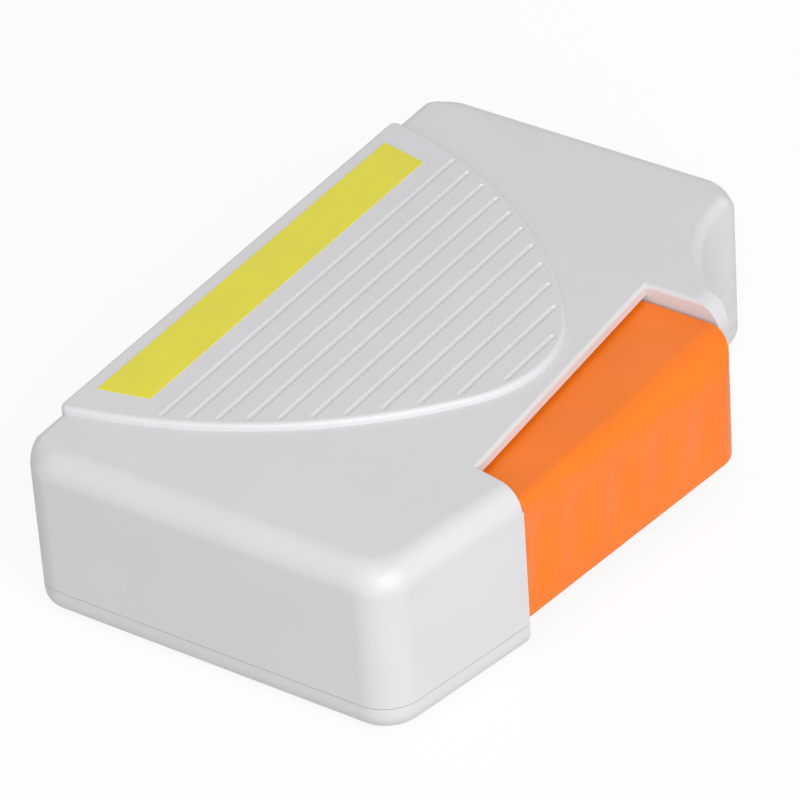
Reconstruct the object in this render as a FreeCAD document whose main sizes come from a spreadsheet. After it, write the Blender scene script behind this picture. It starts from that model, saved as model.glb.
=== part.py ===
import FreeCAD
import Part
import Sketcher
import math
import os
import re

# Reel cleaner for fibre connectors: a case of two shells, a squeeze lever, a tape drive and a shutter.
# Millimetres and degrees. X runs along the case to its far end, Y to the label side, Z up.
# The origin is under the middle of the outline, on the surface that the case stands on.

SIZES = {
    # Case outline, seen from above
    "case_length": 120.0,
    "label_face": 40.0,
    "near_wall_y": -29.3,
    "flare_angle": 10.7,
    "far_wall_y": -20.7,
    "lug_setback": 31.1,
    "lug_tip_width": 2.7,
    "lug_tip_y": -35.7,
    "scoop_radius": 28.0,
    "corner_radius": 5.4,
    "near_corner_radius": 7.2,
    "far_corner_radius": 6.2,
    "far_flat": 0.1,
    # Case heights, walls and edges
    "cover_height": 30.75,
    "parting_height": 5.0,
    "parting_line": 0.12,
    "wall": 2.0,
    "base_wall": 2.0,
    "end_fillet": 4.4,
    "side_fillet": 2.0,
    "lug_fillet": 5.0,
    "base_fillet": 3.4,
    "rim_height": 1.4,
    "rim_wall": 0.9,
    "fit_gap": 0.15,
    # Notch for the lever
    "notch_setback": 31.4,
    "notch_near_y": -25.4,
    "notch_far_y": -22.0,
    "notch_step": 0.2,
    "notch_step_height": 26.6,
    "notch_edge_fillet": 0.7,
    # Raised arch panel with its grooves
    "panel_rise": 1.25,
    "panel_middle": -1.4,
    "panel_setback": 12.85,
    "panel_centre_rise": 14.88,
    "panel_tip_y": -20.62,
    "panel_tip_radius": 21.6,
    "panel_fillet": 0.8,
    "panel_corner_radius": 1.2,
    "groove_count": 11,
    "groove_first_y": 24.1,
    "groove_end_margin": 2.82,
    "groove_radius": 0.56,
    "groove_depth": 0.45,
    "groove_margin": 0.9,
    # Label
    "label_low_y": 28.2,
    "label_high_y": 37.1,
    "label_margin": 6.75,
    "label_taper": 1.9,
    "label_thickness": 0.1,
    # Lever
    "lever_low": 4.8,
    "lever_high": 27.9,
    "lever_gap": 0.6,
    "lever_far_gap": 0.9,
    "lever_near_y": -34.23,
    "lever_far_y": -40.58,
    "lever_tuck": 1.9,
    "lever_wall": 2.4,
    "lever_near_fillet": 1.4,
    "lever_far_fillet": 6.4,
    "lever_end_fillet": 4.8,
    "lever_foot_fillet": 1.0,
    "lever_arm": 2.8,
    "lever_tongue": 2.3,
    "lever_clear": 0.7,
    "lever_hub_high": 24.0,
    "arm_root_x": 0.0,
    "flute_count": 5,
    "flute_radius": 8.0,
    "flute_depth": 0.5,
    "flute_margin": 3.5,
    "flute_far_margin": 10.7,
    "flute_low": 12.7,
    "flute_high": 20.7,
    # Lever pivot and travel
    "pivot_setback": 5.4,
    "pivot_y": -28.5,
    "pivot_pin_radius": 1.25,
    "pivot_boss_radius": 2.8,
    "press_angle": 6.0,
    # Drive gears; tooth root, sector depth and arm lap in modules, ends in tooth pitches
    "gear_teeth": 16,
    "sector_teeth": 128,
    "pressure_angle": 20.0,
    "backlash": 0.3,
    "tooth_root": 1.25,
    "sector_depth": 5.0,
    "arm_lap": 3.0,
    "sector_end": 1.5,
    "arm_end": 1.2,
    "gear_low": 4.4,
    "gear_height": 3.8,
    # Reels and tape
    "supply_setback": 30.0,
    "supply_y": 7.0,
    "takeup_setback": 32.0,
    "takeup_y": 8.0,
    "post_radius": 3.0,
    "post_tip_radius": 2.0,
    "hub_radius": 5.5,
    "reel_low": 11.2,
    "flange_thickness": 1.2,
    "supply_flange_radius": 20.0,
    "takeup_flange_radius": 17.0,
    "supply_roll_radius": 18.0,
    "takeup_roll_radius": 10.0,
    "tape_width": 10.0,
    "tape_thickness": 0.3,
    "tape_gap": 0.15,
    "side_gap": 0.4,
    "running_gap": 0.06,
    "seat_gap": 0.2,
    # One-way ratchet between gear and take-up reel
    "ratchet_teeth": 16,
    "ratchet_radius": 9.0,
    "ratchet_depth": 1.0,
    "skirt_wall": 1.4,
    "disc_thickness": 1.2,
    "finger_count": 4,
    "finger_width": 0.9,
    "finger_sweep": 72.0,
    "key_count": 3,
    # Tape guides and pads
    "roller_setback": 30.0,
    "roller_y": 31.5,
    "roller_radius": 3.0,
    "roller_pin_radius": 1.5,
    "pad_length": 17.0,
    "pad_height": 8.4,
    "pad_thickness": 3.2,
    "holder_thickness": 4.0,
    "holder_leg": 4.0,
    # Cleaning slots and shutter
    "slot_length": 14.0,
    "slot_height": 6.0,
    "slot_middle": 15.0,
    "shutter_thickness": 1.2,
    "shutter_gap": 0.8,
    "shutter_low": 8.6,
    "shutter_top_gap": 2.35,
    "shutter_margin": 2.0,
    "rail_wall": 1.2,
    "rail_overlap": 1.4,
    # Link between lever and shutter
    "link_x": 2.0,
    "link_y": 4.3,
    "link_short": 8.0,
    "link_long": 27.5,
    "link_low": 8.1,
    "link_thickness": 1.5,
    "link_width": 5.0,
    "link_pin_radius": 1.5,
    "eye_before": 3.0,
    "eye_after": 4.5,
    "link_post_radius": 2.0,
    "tab_low": 10.1,
    "tab_thickness": 1.5,
    # Springs
    "spring_setback": 6.5,
    "spring_z": 17.0,
    "spring_seat_y": -13.2,
    "spring_radius": 3.2,
    "spring_wire_radius": 0.4,
    "spring_turns": 5,
    "spring_wire_sides": 4,
    "spigot_radius": 2.3,
    "spigot_length": 2.5,
    "brake_length": 16.0,
    "brake_thickness": 0.4,
    "brake_height": 5.0,
    "brake_gap": 0.15,
    "brake_post_radius": 2.4,
    "brake_tail": 3.0,
    "supply_brake_angle": 225.0,
    "takeup_brake_angle": 315.0,
    # Case screws
    "screw_setback": 8.0,
    "screw_label_y": 31.5,
    "screw_near_y": -20.0,
    "screw_far_y": -11.5,
    "screw_radius": 1.4,
    "screw_head_radius": 2.7,
    "screw_head_height": 1.6,
    "screw_length": 12.0,
    "screw_boss_radius": 3.3,
    "screw_recess": 2.2,
}

# Places and heights that follow from the sizes
PLACES = {
    "half_length": "case_length / 2",
    "flare": "tan(flare_angle)",
    "lug_tip_x": "half_length - lug_setback",
    "lug_drop": "far_wall_y - lug_tip_y",
    "scoop_x": "lug_tip_x + sqrt(2 * scoop_radius * lug_drop - lug_drop ^ 2)",
    "far_radius": "min(far_corner_radius; half_length - scoop_x - far_flat)",
    "ceiling": "cover_height - wall",
    "panel_top": "cover_height + panel_rise",
    "notch_near_x": "notch_setback - half_length",
    "notch_far_x": "lug_tip_x - lug_tip_width",
    "notch_lean": "(notch_far_y - notch_near_y) / (notch_far_x - notch_near_x)",
    "tape_low": "reel_low + flange_thickness + side_gap",
    "tape_high": "tape_low + tape_width",
    "tape_middle": "tape_low + tape_width / 2",
    "reel_high": "tape_high + side_gap + flange_thickness",
    "tape_front": "roller_y + roller_radius + tape_gap",
    "lever_near_x": "lower_near_x + lever_gap",
    "lever_far_x": "notch_far_x - lever_far_gap",
    "lever_inner_x": "notch_far_x - lever_gap",
    "lever_root_x": "notch_near_x - lever_tongue",
    "lever_slope": "(lever_far_y - lever_near_y) / (lever_far_x - lever_near_x)",
    "lever_lean": "atan(lever_slope)",
    "lever_wall_y": "lever_wall / cos(lever_lean)",
    "lever_length": "(lever_far_x - lever_near_x) / cos(lever_lean)",
    "lever_edge_rate": "(lever_far_fillet - lever_near_fillet) / lever_length",
    "lever_edge_slant": "sqrt(1 + 2 * lever_edge_rate ^ 2)",
    "flute_first_x": "lever_near_x + flute_margin",
    "flute_pitch": "(lever_far_x - flute_far_margin - flute_first_x) / (flute_count - 1)",
    "spring_x": "lever_far_x - spring_setback",
    "pivot_x": "notch_near_x - pivot_setback",
    "supply_x": "supply_setback - half_length",
    "takeup_x": "half_length - takeup_setback",
    "roller_x": "half_length - roller_setback",
    "screw_x": "half_length - screw_setback",
    "gear_distance": "sqrt((takeup_x - pivot_x) ^ 2 + (takeup_y - pivot_y) ^ 2)",
    "gear_module": "2 * gear_distance / (gear_teeth + sector_teeth)",
    "link_distance": "sqrt((link_x - pivot_x) ^ 2 + (link_y - pivot_y) ^ 2)",
    "link_swing": "press_angle * (link_distance - link_short) / link_short",
    "shutter_travel": "2 * link_long * sin(link_swing / 2)",
    "shutter_front": "label_face - wall - shutter_gap",
    "shutter_back": "shutter_front - shutter_thickness",
    "shutter_high": "ceiling - shutter_top_gap",
    "panel_half_width": "half_length - panel_setback",
    "panel_side_y": "label_face + panel_centre_rise",
    "panel_tip_centre_y": "panel_tip_y + panel_tip_radius",
    "panel_drop": "panel_side_y - panel_tip_centre_y",
    "panel_square": "panel_half_width ^ 2 + panel_centre_rise ^ 2 - panel_tip_radius ^ 2 - panel_drop ^ 2",
    "panel_spare": "panel_half_width ^ 2 - panel_tip_radius ^ 2",
    "panel_reach": "4 * panel_tip_radius ^ 2 * panel_drop ^ 2 - panel_square ^ 2",
    "panel_root": "sqrt(panel_square ^ 2 * panel_half_width ^ 2 + panel_spare * panel_reach)",
    "panel_side_offset": "(panel_root - panel_square * panel_half_width) / (2 * panel_spare)",
    "panel_side_radius": "panel_tip_radius + sqrt(panel_side_offset ^ 2 + panel_drop ^ 2)",
    "panel_blend": "panel_side_radius / (panel_side_radius - panel_tip_radius)",
    "panel_blend_x": "panel_side_offset * (panel_blend - 1)",
    "panel_blend_y": "panel_side_y - panel_drop * panel_blend",
    "groove_pitch": "(groove_first_y - panel_tip_y - groove_end_margin) / (groove_count - 1)",
    "label_half_width": "panel_half_width - label_margin",
    "notch_edge_x": "notch_near_x - (notch_near_y - lever_near_y) * flare",
    "lower_near_x": "notch_edge_x + notch_step",
    "flare_end_x": "lower_near_x + 2 * wall",
    "flare_end_y": "near_wall_y - (flare_end_x + half_length) * flare",
    "lug_wall_x": "notch_far_x + wall",
    "lug_inner_rise": "sqrt((scoop_radius + wall) ^ 2 - (scoop_x - lug_wall_x) ^ 2)",
    "lug_inner_y": "far_wall_y - scoop_radius + lug_inner_rise",
    "outside_y": "lever_far_y - corner_radius",
    "tray_wall": "wall + fit_gap + rim_wall",
    "slot_low": "tape_middle - slot_height / 2",
    "slot_high": "tape_middle + slot_height / 2",
    "rail_y": "shutter_back - fit_gap",
    "shutter_near_x": "-slot_middle - slot_length / 2 - shutter_travel - shutter_margin",
    "shutter_far_x": "slot_middle + slot_length / 2 + shutter_margin",
    "rail_near_x": "shutter_near_x - shutter_margin",
    "rail_far_x": "shutter_far_x + shutter_travel + shutter_margin",
    "gear_high": "gear_low + gear_height",
    "disc_high": "gear_high + disc_thickness",
    "sector_radius": "gear_module * sector_teeth / 2",
    "sector_pitch": "360 / sector_teeth",
    "drive_angle": "atan2(takeup_y - pivot_y; takeup_x - pivot_x) / 1 deg",
    "link_angle": "atan2(link_y - pivot_y; link_x - pivot_x) / 1 deg",
    "pad_front": "tape_front - tape_gap",
    "pad_back": "pad_front - pad_thickness",
    "pad_end": "slot_middle + pad_length / 2",
}

WORD = re.compile(r"[a-z_][a-z0-9_]*")
CLOSE = 1e-4

doc = FreeCAD.newDocument("cleaning_box")
sheet = doc.addObject("Spreadsheet::Sheet", "Sizes")
for row, (alias, value) in enumerate(SIZES.items(), 1):
    sheet.set(f"A{row}", alias.replace("_", " "))
    sheet.set(f"B{row}", str(value))
    sheet.setAlias(f"B{row}", alias)
doc.recompute()


def bind(text):
    """An expression over sheet cells, from one written with the names of sizes and places."""
    def cell(match):
        word = match.group()
        if word in PLACES:
            return "(" + bind(PLACES[word]) + ")"
        return "Sizes." + word if word in SIZES else word
    return WORD.sub(cell, text)


def number(text):
    """The present value of an expression."""
    return float(sheet.evalExpression(bind(text)))


def place(item, x="0", y="0", z="0"):
    """Binds the place of an object to three expressions."""
    for axis, text in zip("xyz", (x, y, z)):
        item.setExpression(f"Placement.Base.{axis}", bind(text))
    return item


def box(name, x, y, z):
    """Box between pairs of expressions, low and high, along each axis."""
    item = doc.addObject("Part::Box", name)
    for side, (low, high) in zip(("Length", "Width", "Height"), (x, y, z)):
        item.setExpression(side, bind(f"({high}) - ({low})"))
    return place(item, x[0], y[0], z[0])


def cylinder(name, radius, x, y, low, high):
    """Upright round solid between two heights."""
    item = doc.addObject("Part::Cylinder", name)
    item.setExpression("Radius", bind(radius))
    item.setExpression("Height", bind(f"({high}) - ({low})"))
    return place(item, x, y, low)


def turn(item, axis, angle):
    """Turns an object about its own origin."""
    item.Placement.Rotation = FreeCAD.Rotation(FreeCAD.Vector(*axis), 90)
    item.setExpression("Placement.Rotation.Angle", bind(angle))
    return item


def fuse(name, items):
    """One solid from several that touch or overlap."""
    item = doc.addObject("Part::MultiFuse", name)
    item.Shapes = items
    item.Refine = True
    return item


def cut(name, base, tools):
    """A solid less one or more others."""
    item = doc.addObject("Part::Cut", name)
    item.Base = base
    item.Tool = tools[0] if len(tools) == 1 else fuse(name + "_tools", tools)
    item.Refine = True
    return item


def spot(corner):
    """The present place of a corner given as expressions."""
    return FreeCAD.Vector(number(corner[0]), number(corner[1]), 0)


def arc_between(start, end, centre):
    """Arc from start to end about centre the shorter way, and which of its ends the start is."""
    first = math.atan2(start.y - centre.y, start.x - centre.x)
    last = math.atan2(end.y - centre.y, end.x - centre.x)
    circle = Part.Circle(centre, FreeCAD.Vector(0, 0, 1), centre.distanceToPoint(start))
    if math.sin(last - first) > 0:
        return Part.ArcOfCircle(circle, first, last), 1
    return Part.ArcOfCircle(circle, last, first), 2


def hold(sketch, geometry, point, corner):
    """Holds a point of a sketch at a corner by two dimensions."""
    for kind, text in zip(("DistanceX", "DistanceY"), corner):
        index = sketch.addConstraint(Sketcher.Constraint(kind, -1, 1, geometry, point, number(text)))
        sketch.setExpression(f"Constraints[{index}]", bind(text))


def hold_radius(sketch, geometry, text):
    """Holds the radius of an arc of a sketch."""
    index = sketch.addConstraint(Sketcher.Constraint("Radius", geometry, number(text)))
    sketch.setExpression(f"Constraints[{index}]", bind(text))


def outline(sketch, corners, arcs=None):
    """Draws a closed outline. A corner is x, y and, if rounded, a radius, all expressions.

    arcs gives, by the number of the corner where it starts, the radius of each round stretch,
    with a minus sign if its centre lies to the right of the way round.
    """
    arcs = arcs or {}
    count = len(corners)
    points = [spot(corner) for corner in corners]
    ways = [(points[(i + 1) % count] - points[i]).normalize() for i in range(count)]
    trims = []
    for i, corner in enumerate(corners):
        bend = ways[i - 1].getAngle(ways[i])
        trims.append(number(corner[2]) * math.tan(bend / 2) if len(corner) > 2 else 0.0)
    edges = []
    for i, point in enumerate(points):
        end = points[(i + 1) % count]
        if i in arcs:
            radius = number(arcs[i])
            half = (end - point) / 2
            across = FreeCAD.Vector(-half.y, half.x, 0).normalize()
            reach = math.sqrt(radius ** 2 - half.Length ** 2)
            centre = point + half + across * math.copysign(reach, radius)
            curve, first = arc_between(point, end, centre)
            geometry = sketch.addGeometry(curve)
            hold_radius(sketch, geometry, f"abs({arcs[i]})")
        else:
            curve = Part.LineSegment(point + ways[i] * trims[i], end - ways[i] * trims[(i + 1) % count])
            geometry = sketch.addGeometry(curve)
            first = 1
        edges.append((geometry, first, 3 - first))
    for i, corner in enumerate(corners):
        before, _, before_end = edges[i - 1]
        after, after_start, _ = edges[i]
        if len(corner) == 2:
            sketch.addConstraint(Sketcher.Constraint("Coincident", before, before_end, after, after_start))
            hold(sketch, after, after_start, corner)
            continue
        start = points[i] - ways[i - 1] * trims[i]
        end = points[i] + ways[i] * trims[i]
        inward = (ways[i] - ways[i - 1]).normalize()
        centre = points[i] + inward * math.hypot(trims[i], number(corner[2]))
        curve, first = arc_between(start, end, centre)
        geometry = sketch.addGeometry(curve)
        mark = sketch.addGeometry(Part.Point(points[i]), True)
        hold(sketch, mark, 1, corner)
        sketch.addConstraint(Sketcher.Constraint("PointOnObject", mark, 1, before))
        sketch.addConstraint(Sketcher.Constraint("PointOnObject", mark, 1, after))
        sketch.addConstraint(Sketcher.Constraint("Tangent", before, before_end, geometry, first))
        sketch.addConstraint(Sketcher.Constraint("Tangent", geometry, 3 - first, after, after_start))
        hold_radius(sketch, geometry, corner[2])


def prism(name, corners, low, high, arcs=None):
    """Upright solid on an outline, between two heights."""
    sketch = place(doc.addObject("Sketcher::SketchObject", name + "_outline"), z=low)
    outline(sketch, corners, arcs)
    item = doc.addObject("Part::Extrusion", name)
    item.Base = sketch
    item.DirMode = "Custom"
    item.Dir = FreeCAD.Vector(0, 0, 1)
    item.Solid = True
    item.setExpression("LengthFwd", bind(f"({high}) - ({low})"))
    return item


def tapered(name, section, near_x, far_x):
    """Solid with flat sides between two sections across X, whose corners section gives."""
    ends = []
    for side, x in (("near", near_x), ("far", far_x)):
        sketch = doc.addObject("Sketcher::SketchObject", f"{name}_{side}")
        sketch.Placement.Rotation = FreeCAD.Rotation(FreeCAD.Vector(1, 1, 1), 120)
        outline(place(sketch, x), section(x))
        ends.append(sketch)
    item = doc.addObject("Part::Loft", name)
    item.Sections = ends
    item.Solid = True
    item.Ruled = True
    return item


def turned(name, profile, x="0", y="0"):
    """Solid turned about an upright axis, from the radius and height of each corner of its half section."""
    body = doc.addObject("PartDesign::Body", name)
    sketch = body.newObject("Sketcher::SketchObject", name + "_section")
    plane = [item for item in body.Origin.OriginFeatures if item.Role == "XZ_Plane"]
    sketch.AttachmentSupport = [(plane[0], "")]
    sketch.MapMode = "FlatFace"
    outline(sketch, profile)
    solid = body.newObject("PartDesign::Revolution", name + "_turned")
    solid.Profile = sketch
    solid.ReferenceAxis = (sketch, ["V_Axis"])
    solid.Angle = 360
    body.Tip = solid
    return place(body, x, y)


def rounded(name, base, radii):
    """Rounds edges of a solid; radii gives the radius at both ends of an edge, or nothing to leave it."""
    doc.recompute()
    edges = []
    for index, edge in enumerate(base.Shape.Edges, 1):
        pair = radii(edge)
        if pair:
            edges.append((index, *pair))
    item = doc.addObject("Part::Fillet", name)
    item.Base = base
    item.Edges = edges
    return item


def solid(name, shape):
    """A sub-part whose shape is worked out here, where no plain feature makes it."""
    item = doc.addObject("Part::Feature", name)
    item.Shape = shape
    return item


def at_height(edge, height):
    """Whether an edge lies flat at a height."""
    ends = [vertex.Point.z for vertex in edge.Vertexes]
    middle = edge.valueAt((edge.FirstParameter + edge.LastParameter) / 2).z
    return all(abs(z - height) < CLOSE for z in ends + [middle])


def near_wall(x, inset):
    """Y of the flared near wall at x, a distance inside its outer face."""
    return f"near_wall_y - ({x} + half_length) * flare + ({inset}) / cos(flare_angle)"


def notch_line(x):
    """Y of the inner edge of the notch at x."""
    return f"notch_far_y + ({x} - notch_far_x) * notch_lean"


def case_corners():
    """Outer outline of the case without its notch; the stretch from corner 3 is the finger scoop."""
    return [
        ("-half_length", "label_face", "corner_radius"),
        ("half_length", "label_face", "corner_radius"),
        ("half_length", "far_wall_y", "far_radius"),
        ("scoop_x", "far_wall_y"),
        ("lug_tip_x", "lug_tip_y"),
        ("flare_end_x", "flare_end_y"),
        ("-half_length", "near_wall_y", "near_corner_radius"),
    ]


def ends_and_label_side(inset):
    """Corners of the inside of the case around its label side, a distance inside the outer faces."""
    return [
        (f"-half_length + {inset}", f"label_face - {inset}", f"corner_radius - {inset}"),
        (f"half_length - {inset}", f"label_face - {inset}", f"corner_radius - {inset}"),
        (f"half_length - {inset}", f"far_wall_y + {inset}", f"far_radius - {inset}"),
    ]


def near_corner(inset):
    """Corner of the inside of the case at its near end, on the lever side."""
    x = f"-half_length + {inset}"
    return (x, near_wall(x, inset), f"near_corner_radius - {inset}")


def case_block(name, low, high):
    """Solid block of the case outline between two heights."""
    return prism(name, case_corners(), low, high, {3: "scoop_radius"})


def top_edge(edge):
    """Radius for the top edges of the cover, but for the stretch that the notch takes away."""
    notch = (number("flare_end_x") - CLOSE, number("lug_tip_x") + CLOSE)
    in_notch = all(notch[0] < vertex.X < notch[1] for vertex in edge.Vertexes)
    return both_ends("side_fillet") if at_height(edge, number("cover_height")) and not in_notch else None


def rod_between(name, radius, start, end):
    """Round solid between two places."""
    first, last = (FreeCAD.Vector(*(number(value) for value in point)) for point in (start, end))
    item = doc.addObject("Part::Cylinder", name)
    item.setExpression("Radius", bind(radius))
    item.Height = (last - first).Length
    item.Placement = FreeCAD.Placement(first, FreeCAD.Rotation(FreeCAD.Vector(0, 0, 1), last - first))
    return item


def edge_rounding(name, radius, bar, start, end):
    """What is taken off to round a straight top edge: a bar along it less a rod."""
    low = f"cover_height - {radius}"
    block = box(f"{name}_bar", *bar, (low, "cover_height + wall"))
    return cut(name, block, [rod_between(f"{name}_rod", radius, (*start, low), (*end, low))])


def wider_roundings():
    """Roundings of the cover's two ends and of the lug, which are wider than those of its long sides."""
    sides = ("outside_y", "label_face + wall")
    lug = ("notch_far_x - wall", "scoop_x")
    lug_y = "lug_tip_y + lug_fillet"
    near_x = "end_fillet - half_length"
    far_x = "half_length - end_fillet"
    return [
        edge_rounding("near_end", "end_fillet", (("-half_length - wall", near_x), sides),
                      *[(near_x, y) for y in sides]),
        edge_rounding("far_end", "end_fillet", ((far_x, "half_length + wall"), sides),
                      *[(far_x, y) for y in sides]),
        edge_rounding("lug_end", "lug_fillet", (lug, ("lug_tip_y - wall", lug_y)),
                      *[(x, lug_y) for x in lug]),
    ]


def base_edge(edge):
    """Radius for the bottom edges of the tray."""
    return both_ends("base_fillet") if at_height(edge, 0) else None


def arch_panel():
    """Raised panel: an arch of two large arcs and a round tip that stands on the label side."""
    corners = [
        ("panel_middle - panel_half_width", "label_face"),
        ("panel_middle + panel_half_width", "label_face"),
        ("panel_middle + panel_blend_x", "panel_blend_y"),
        ("panel_middle - panel_blend_x", "panel_blend_y"),
    ]
    arcs = {1: "-panel_side_radius", 2: "-panel_tip_radius", 3: "-panel_side_radius"}
    block = prism("panel_block", corners, "ceiling - wall", "panel_top", arcs)

    def label_corner(edge):
        on_label_face = all(abs(vertex.Y - number("label_face")) < CLOSE for vertex in edge.Vertexes)
        upright = on_label_face and edge.Length < number("panel_half_width")
        return both_ends("panel_corner_radius") if upright else None

    def panel_edge(edge):
        return both_ends("panel_fillet") if at_height(edge, number("panel_top")) else None

    return rounded("panel", rounded("panel_corners", block, label_corner), panel_edge)


def both_ends(text):
    """The same radius at both ends of an edge."""
    return number(text), number(text)


def socket(name, radius, x, y, low):
    """Ring under the top of the cover that holds the tip of a post."""
    return cylinder(name, f"{radius} + wall / 2", x, y, low, "ceiling + wall / 2")


SCREW_PLACES = [
    ("-screw_x", "screw_label_y"),
    ("screw_x", "screw_label_y"),
    ("-screw_x", "screw_near_y"),
    ("screw_x", "screw_far_y"),
]

POST_PLACES = [("supply_post", "supply_x", "supply_y"), ("takeup_post", "takeup_x", "takeup_y")]

PIN_PLACES = [("near_pin", "-roller_x", "roller_y"), ("far_pin", "roller_x", "roller_y")]


def cover_form():
    """Outside of the cover with its panel, hollow inside and notched for the lever."""
    block = rounded("cover_block", case_block("cover_blank", "parting_height", "cover_height"), top_edge)
    form = fuse("cover_form", [cut("cover_rounded", block, wider_roundings()), arch_panel()])
    hollow_corners = ends_and_label_side("wall") + [
        ("scoop_x", "far_wall_y + wall"),
        ("lug_wall_x", "lug_inner_y"),
        ("lug_wall_x", "notch_far_y + wall"),
        ("notch_far_x", "notch_far_y + wall"),
        ("notch_far_x", "outside_y"),
        ("lower_near_x", "outside_y"),
        ("lower_near_x", near_wall("lower_near_x", "wall")),
        near_corner("wall"),
    ]
    scoop = {3: "scoop_radius + wall"}
    hollow = prism("cover_hollow", hollow_corners, "parting_height - wall", "ceiling", scoop)
    # The near side of the notch stands square to the flared wall.
    notch_corners = [
        ("notch_near_x", "notch_near_y"),
        ("notch_far_x", "notch_far_y"),
        ("notch_far_x", "outside_y"),
        ("notch_near_x - (notch_near_y - outside_y) * flare", "outside_y"),
    ]
    notch = prism("cover_notch", notch_corners, "notch_step_height", "panel_top")
    return cut("cover_open", form, [hollow, notch, notch_rim()])


def notch_rim():
    """What is taken off to round two top edges of the notch: a wider notch less a rod along each wall."""
    low = "cover_height - notch_edge_fillet"
    far_x = "notch_far_x + notch_edge_fillet"
    rise = " + notch_edge_fillet * sqrt(1 + notch_lean ^ 2)"
    walls = [
        ("notch_near_x", notch_line("notch_near_x") + rise),
        (far_x, notch_line(far_x) + rise),
        (far_x, "outside_y"),
    ]
    block = prism("notch_rim_block", walls + [("notch_near_x", "outside_y")], low, "panel_top")
    rods = []
    for i, (start, end) in enumerate(zip(walls, walls[1:])):
        rods.append(rod_between(f"notch_rim_{i}", "notch_edge_fillet", (*start, low), (*end, low)))
    return cut("notch_rim", block, rods)


def upper_shell():
    """Deep cover with bosses, sockets, spring seat, shutter rail, cleaning slots and grooves."""
    added = [cover_form()]
    removed = []
    overlap = "ceiling + wall / 2"
    for i, (x, y) in enumerate(SCREW_PLACES):
        added.append(cylinder(f"cover_boss_{i}", "screw_boss_radius", x, y, "parting_height", overlap))
        pilot = "screw_radius + running_gap"
        end = "screw_recess + screw_length + wall"
        removed.append(cylinder(f"pilot_{i}", pilot, x, y, "parting_height - wall", end))
    for name, x, y in POST_PLACES:
        added.append(socket(name + "_socket", "post_tip_radius", x, y, "reel_high + 2 * seat_gap"))
        radius = "post_tip_radius + running_gap"
        removed.append(cylinder(name + "_hole", radius, x, y, "reel_high", "ceiling"))
    for name, x, y in PIN_PLACES:
        added.append(socket(name + "_socket", "roller_pin_radius", x, y, "reel_high + 2 * seat_gap"))
        radius = "roller_pin_radius + running_gap"
        removed.append(cylinder(name + "_hole", radius, x, y, "reel_high", "ceiling"))
    hub = ("pivot_x", "pivot_y")
    added.append(cylinder("cover_pivot", "pivot_boss_radius", *hub, "lever_hub_high + seat_gap", overlap))
    removed.append(cylinder("cover_pivot_hole", "pivot_pin_radius", *hub, "lever_hub_high", "ceiling"))
    half = "(spring_radius + wall / 2)"
    added.append(box("spring_seat", (f"spring_x - {half}", f"spring_x + {half}"),
                     ("spring_seat_y", "spring_seat_y + wall"), (f"spring_z - {half}", overlap)))
    spigot_y = "spring_seat_y + wall / 2"
    added.append(level_rod("seat_spigot", "spigot_radius", "spring_x", spigot_y, "spring_z",
                           "spigot_length + wall / 2"))
    rail = ("rail_near_x", "rail_far_x")
    rail_height = ("shutter_high - rail_overlap", overlap)
    front = ("shutter_front + fit_gap", "label_face - wall / 2")
    added.append(box("cover_rail", rail, ("rail_y - rail_wall", "rail_y"), rail_height))
    added.append(box("cover_front_rail", rail, front, rail_height))
    for name, middle in (("near_slot", "-slot_middle"), ("far_slot", "slot_middle")):
        removed.append(box(name, (f"{middle} - slot_length / 2", f"{middle} + slot_length / 2"),
                           ("label_face - 2 * wall", "label_face + wall"), ("slot_low", "slot_high")))
    return cut("upper_shell", fuse("cover_whole", added), removed + grooves())


def level_rod(name, radius, x, y, z, length):
    """Round solid that lies along -Y from a place."""
    item = doc.addObject("Part::Cylinder", name)
    item.setExpression("Radius", bind(radius))
    item.setExpression("Height", bind(length))
    turn(item, (1, 0, 0), "90")
    return place(item, x, y, z)


def grooves():
    """Round-ended grooves across the panel, each as long as the arch is wide there."""
    tools = []
    for i in range(int(number("groove_count"))):
        y = f"(groove_first_y - {i} * groove_pitch)"
        edge = "(panel_fillet + groove_margin)"
        reach = f"(sqrt((panel_side_radius - {edge}) ^ 2 - (panel_side_y - {y}) ^ 2) - panel_side_offset)"
        if number(y) < number("panel_blend_y"):
            reach = f"sqrt((panel_tip_radius - {edge}) ^ 2 - (panel_tip_centre_y - {y}) ^ 2)"
        height = "panel_top + groove_radius - groove_depth"
        rod = doc.addObject("Part::Cylinder", f"groove_{i}")
        rod.setExpression("Radius", bind("groove_radius"))
        rod.setExpression("Height", bind(f"2 * {reach}"))
        turn(rod, (0, 1, 0), "90")
        tools.append(place(rod, f"panel_middle - {reach}", y, height))
        for name, x in (("near", f"panel_middle - {reach}"), ("far", f"panel_middle + {reach}")):
            ball = doc.addObject("Part::Sphere", f"groove_{i}_{name}")
            ball.setExpression("Radius", bind("groove_radius"))
            tools.append(place(ball, x, y, height))
    return tools


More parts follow.
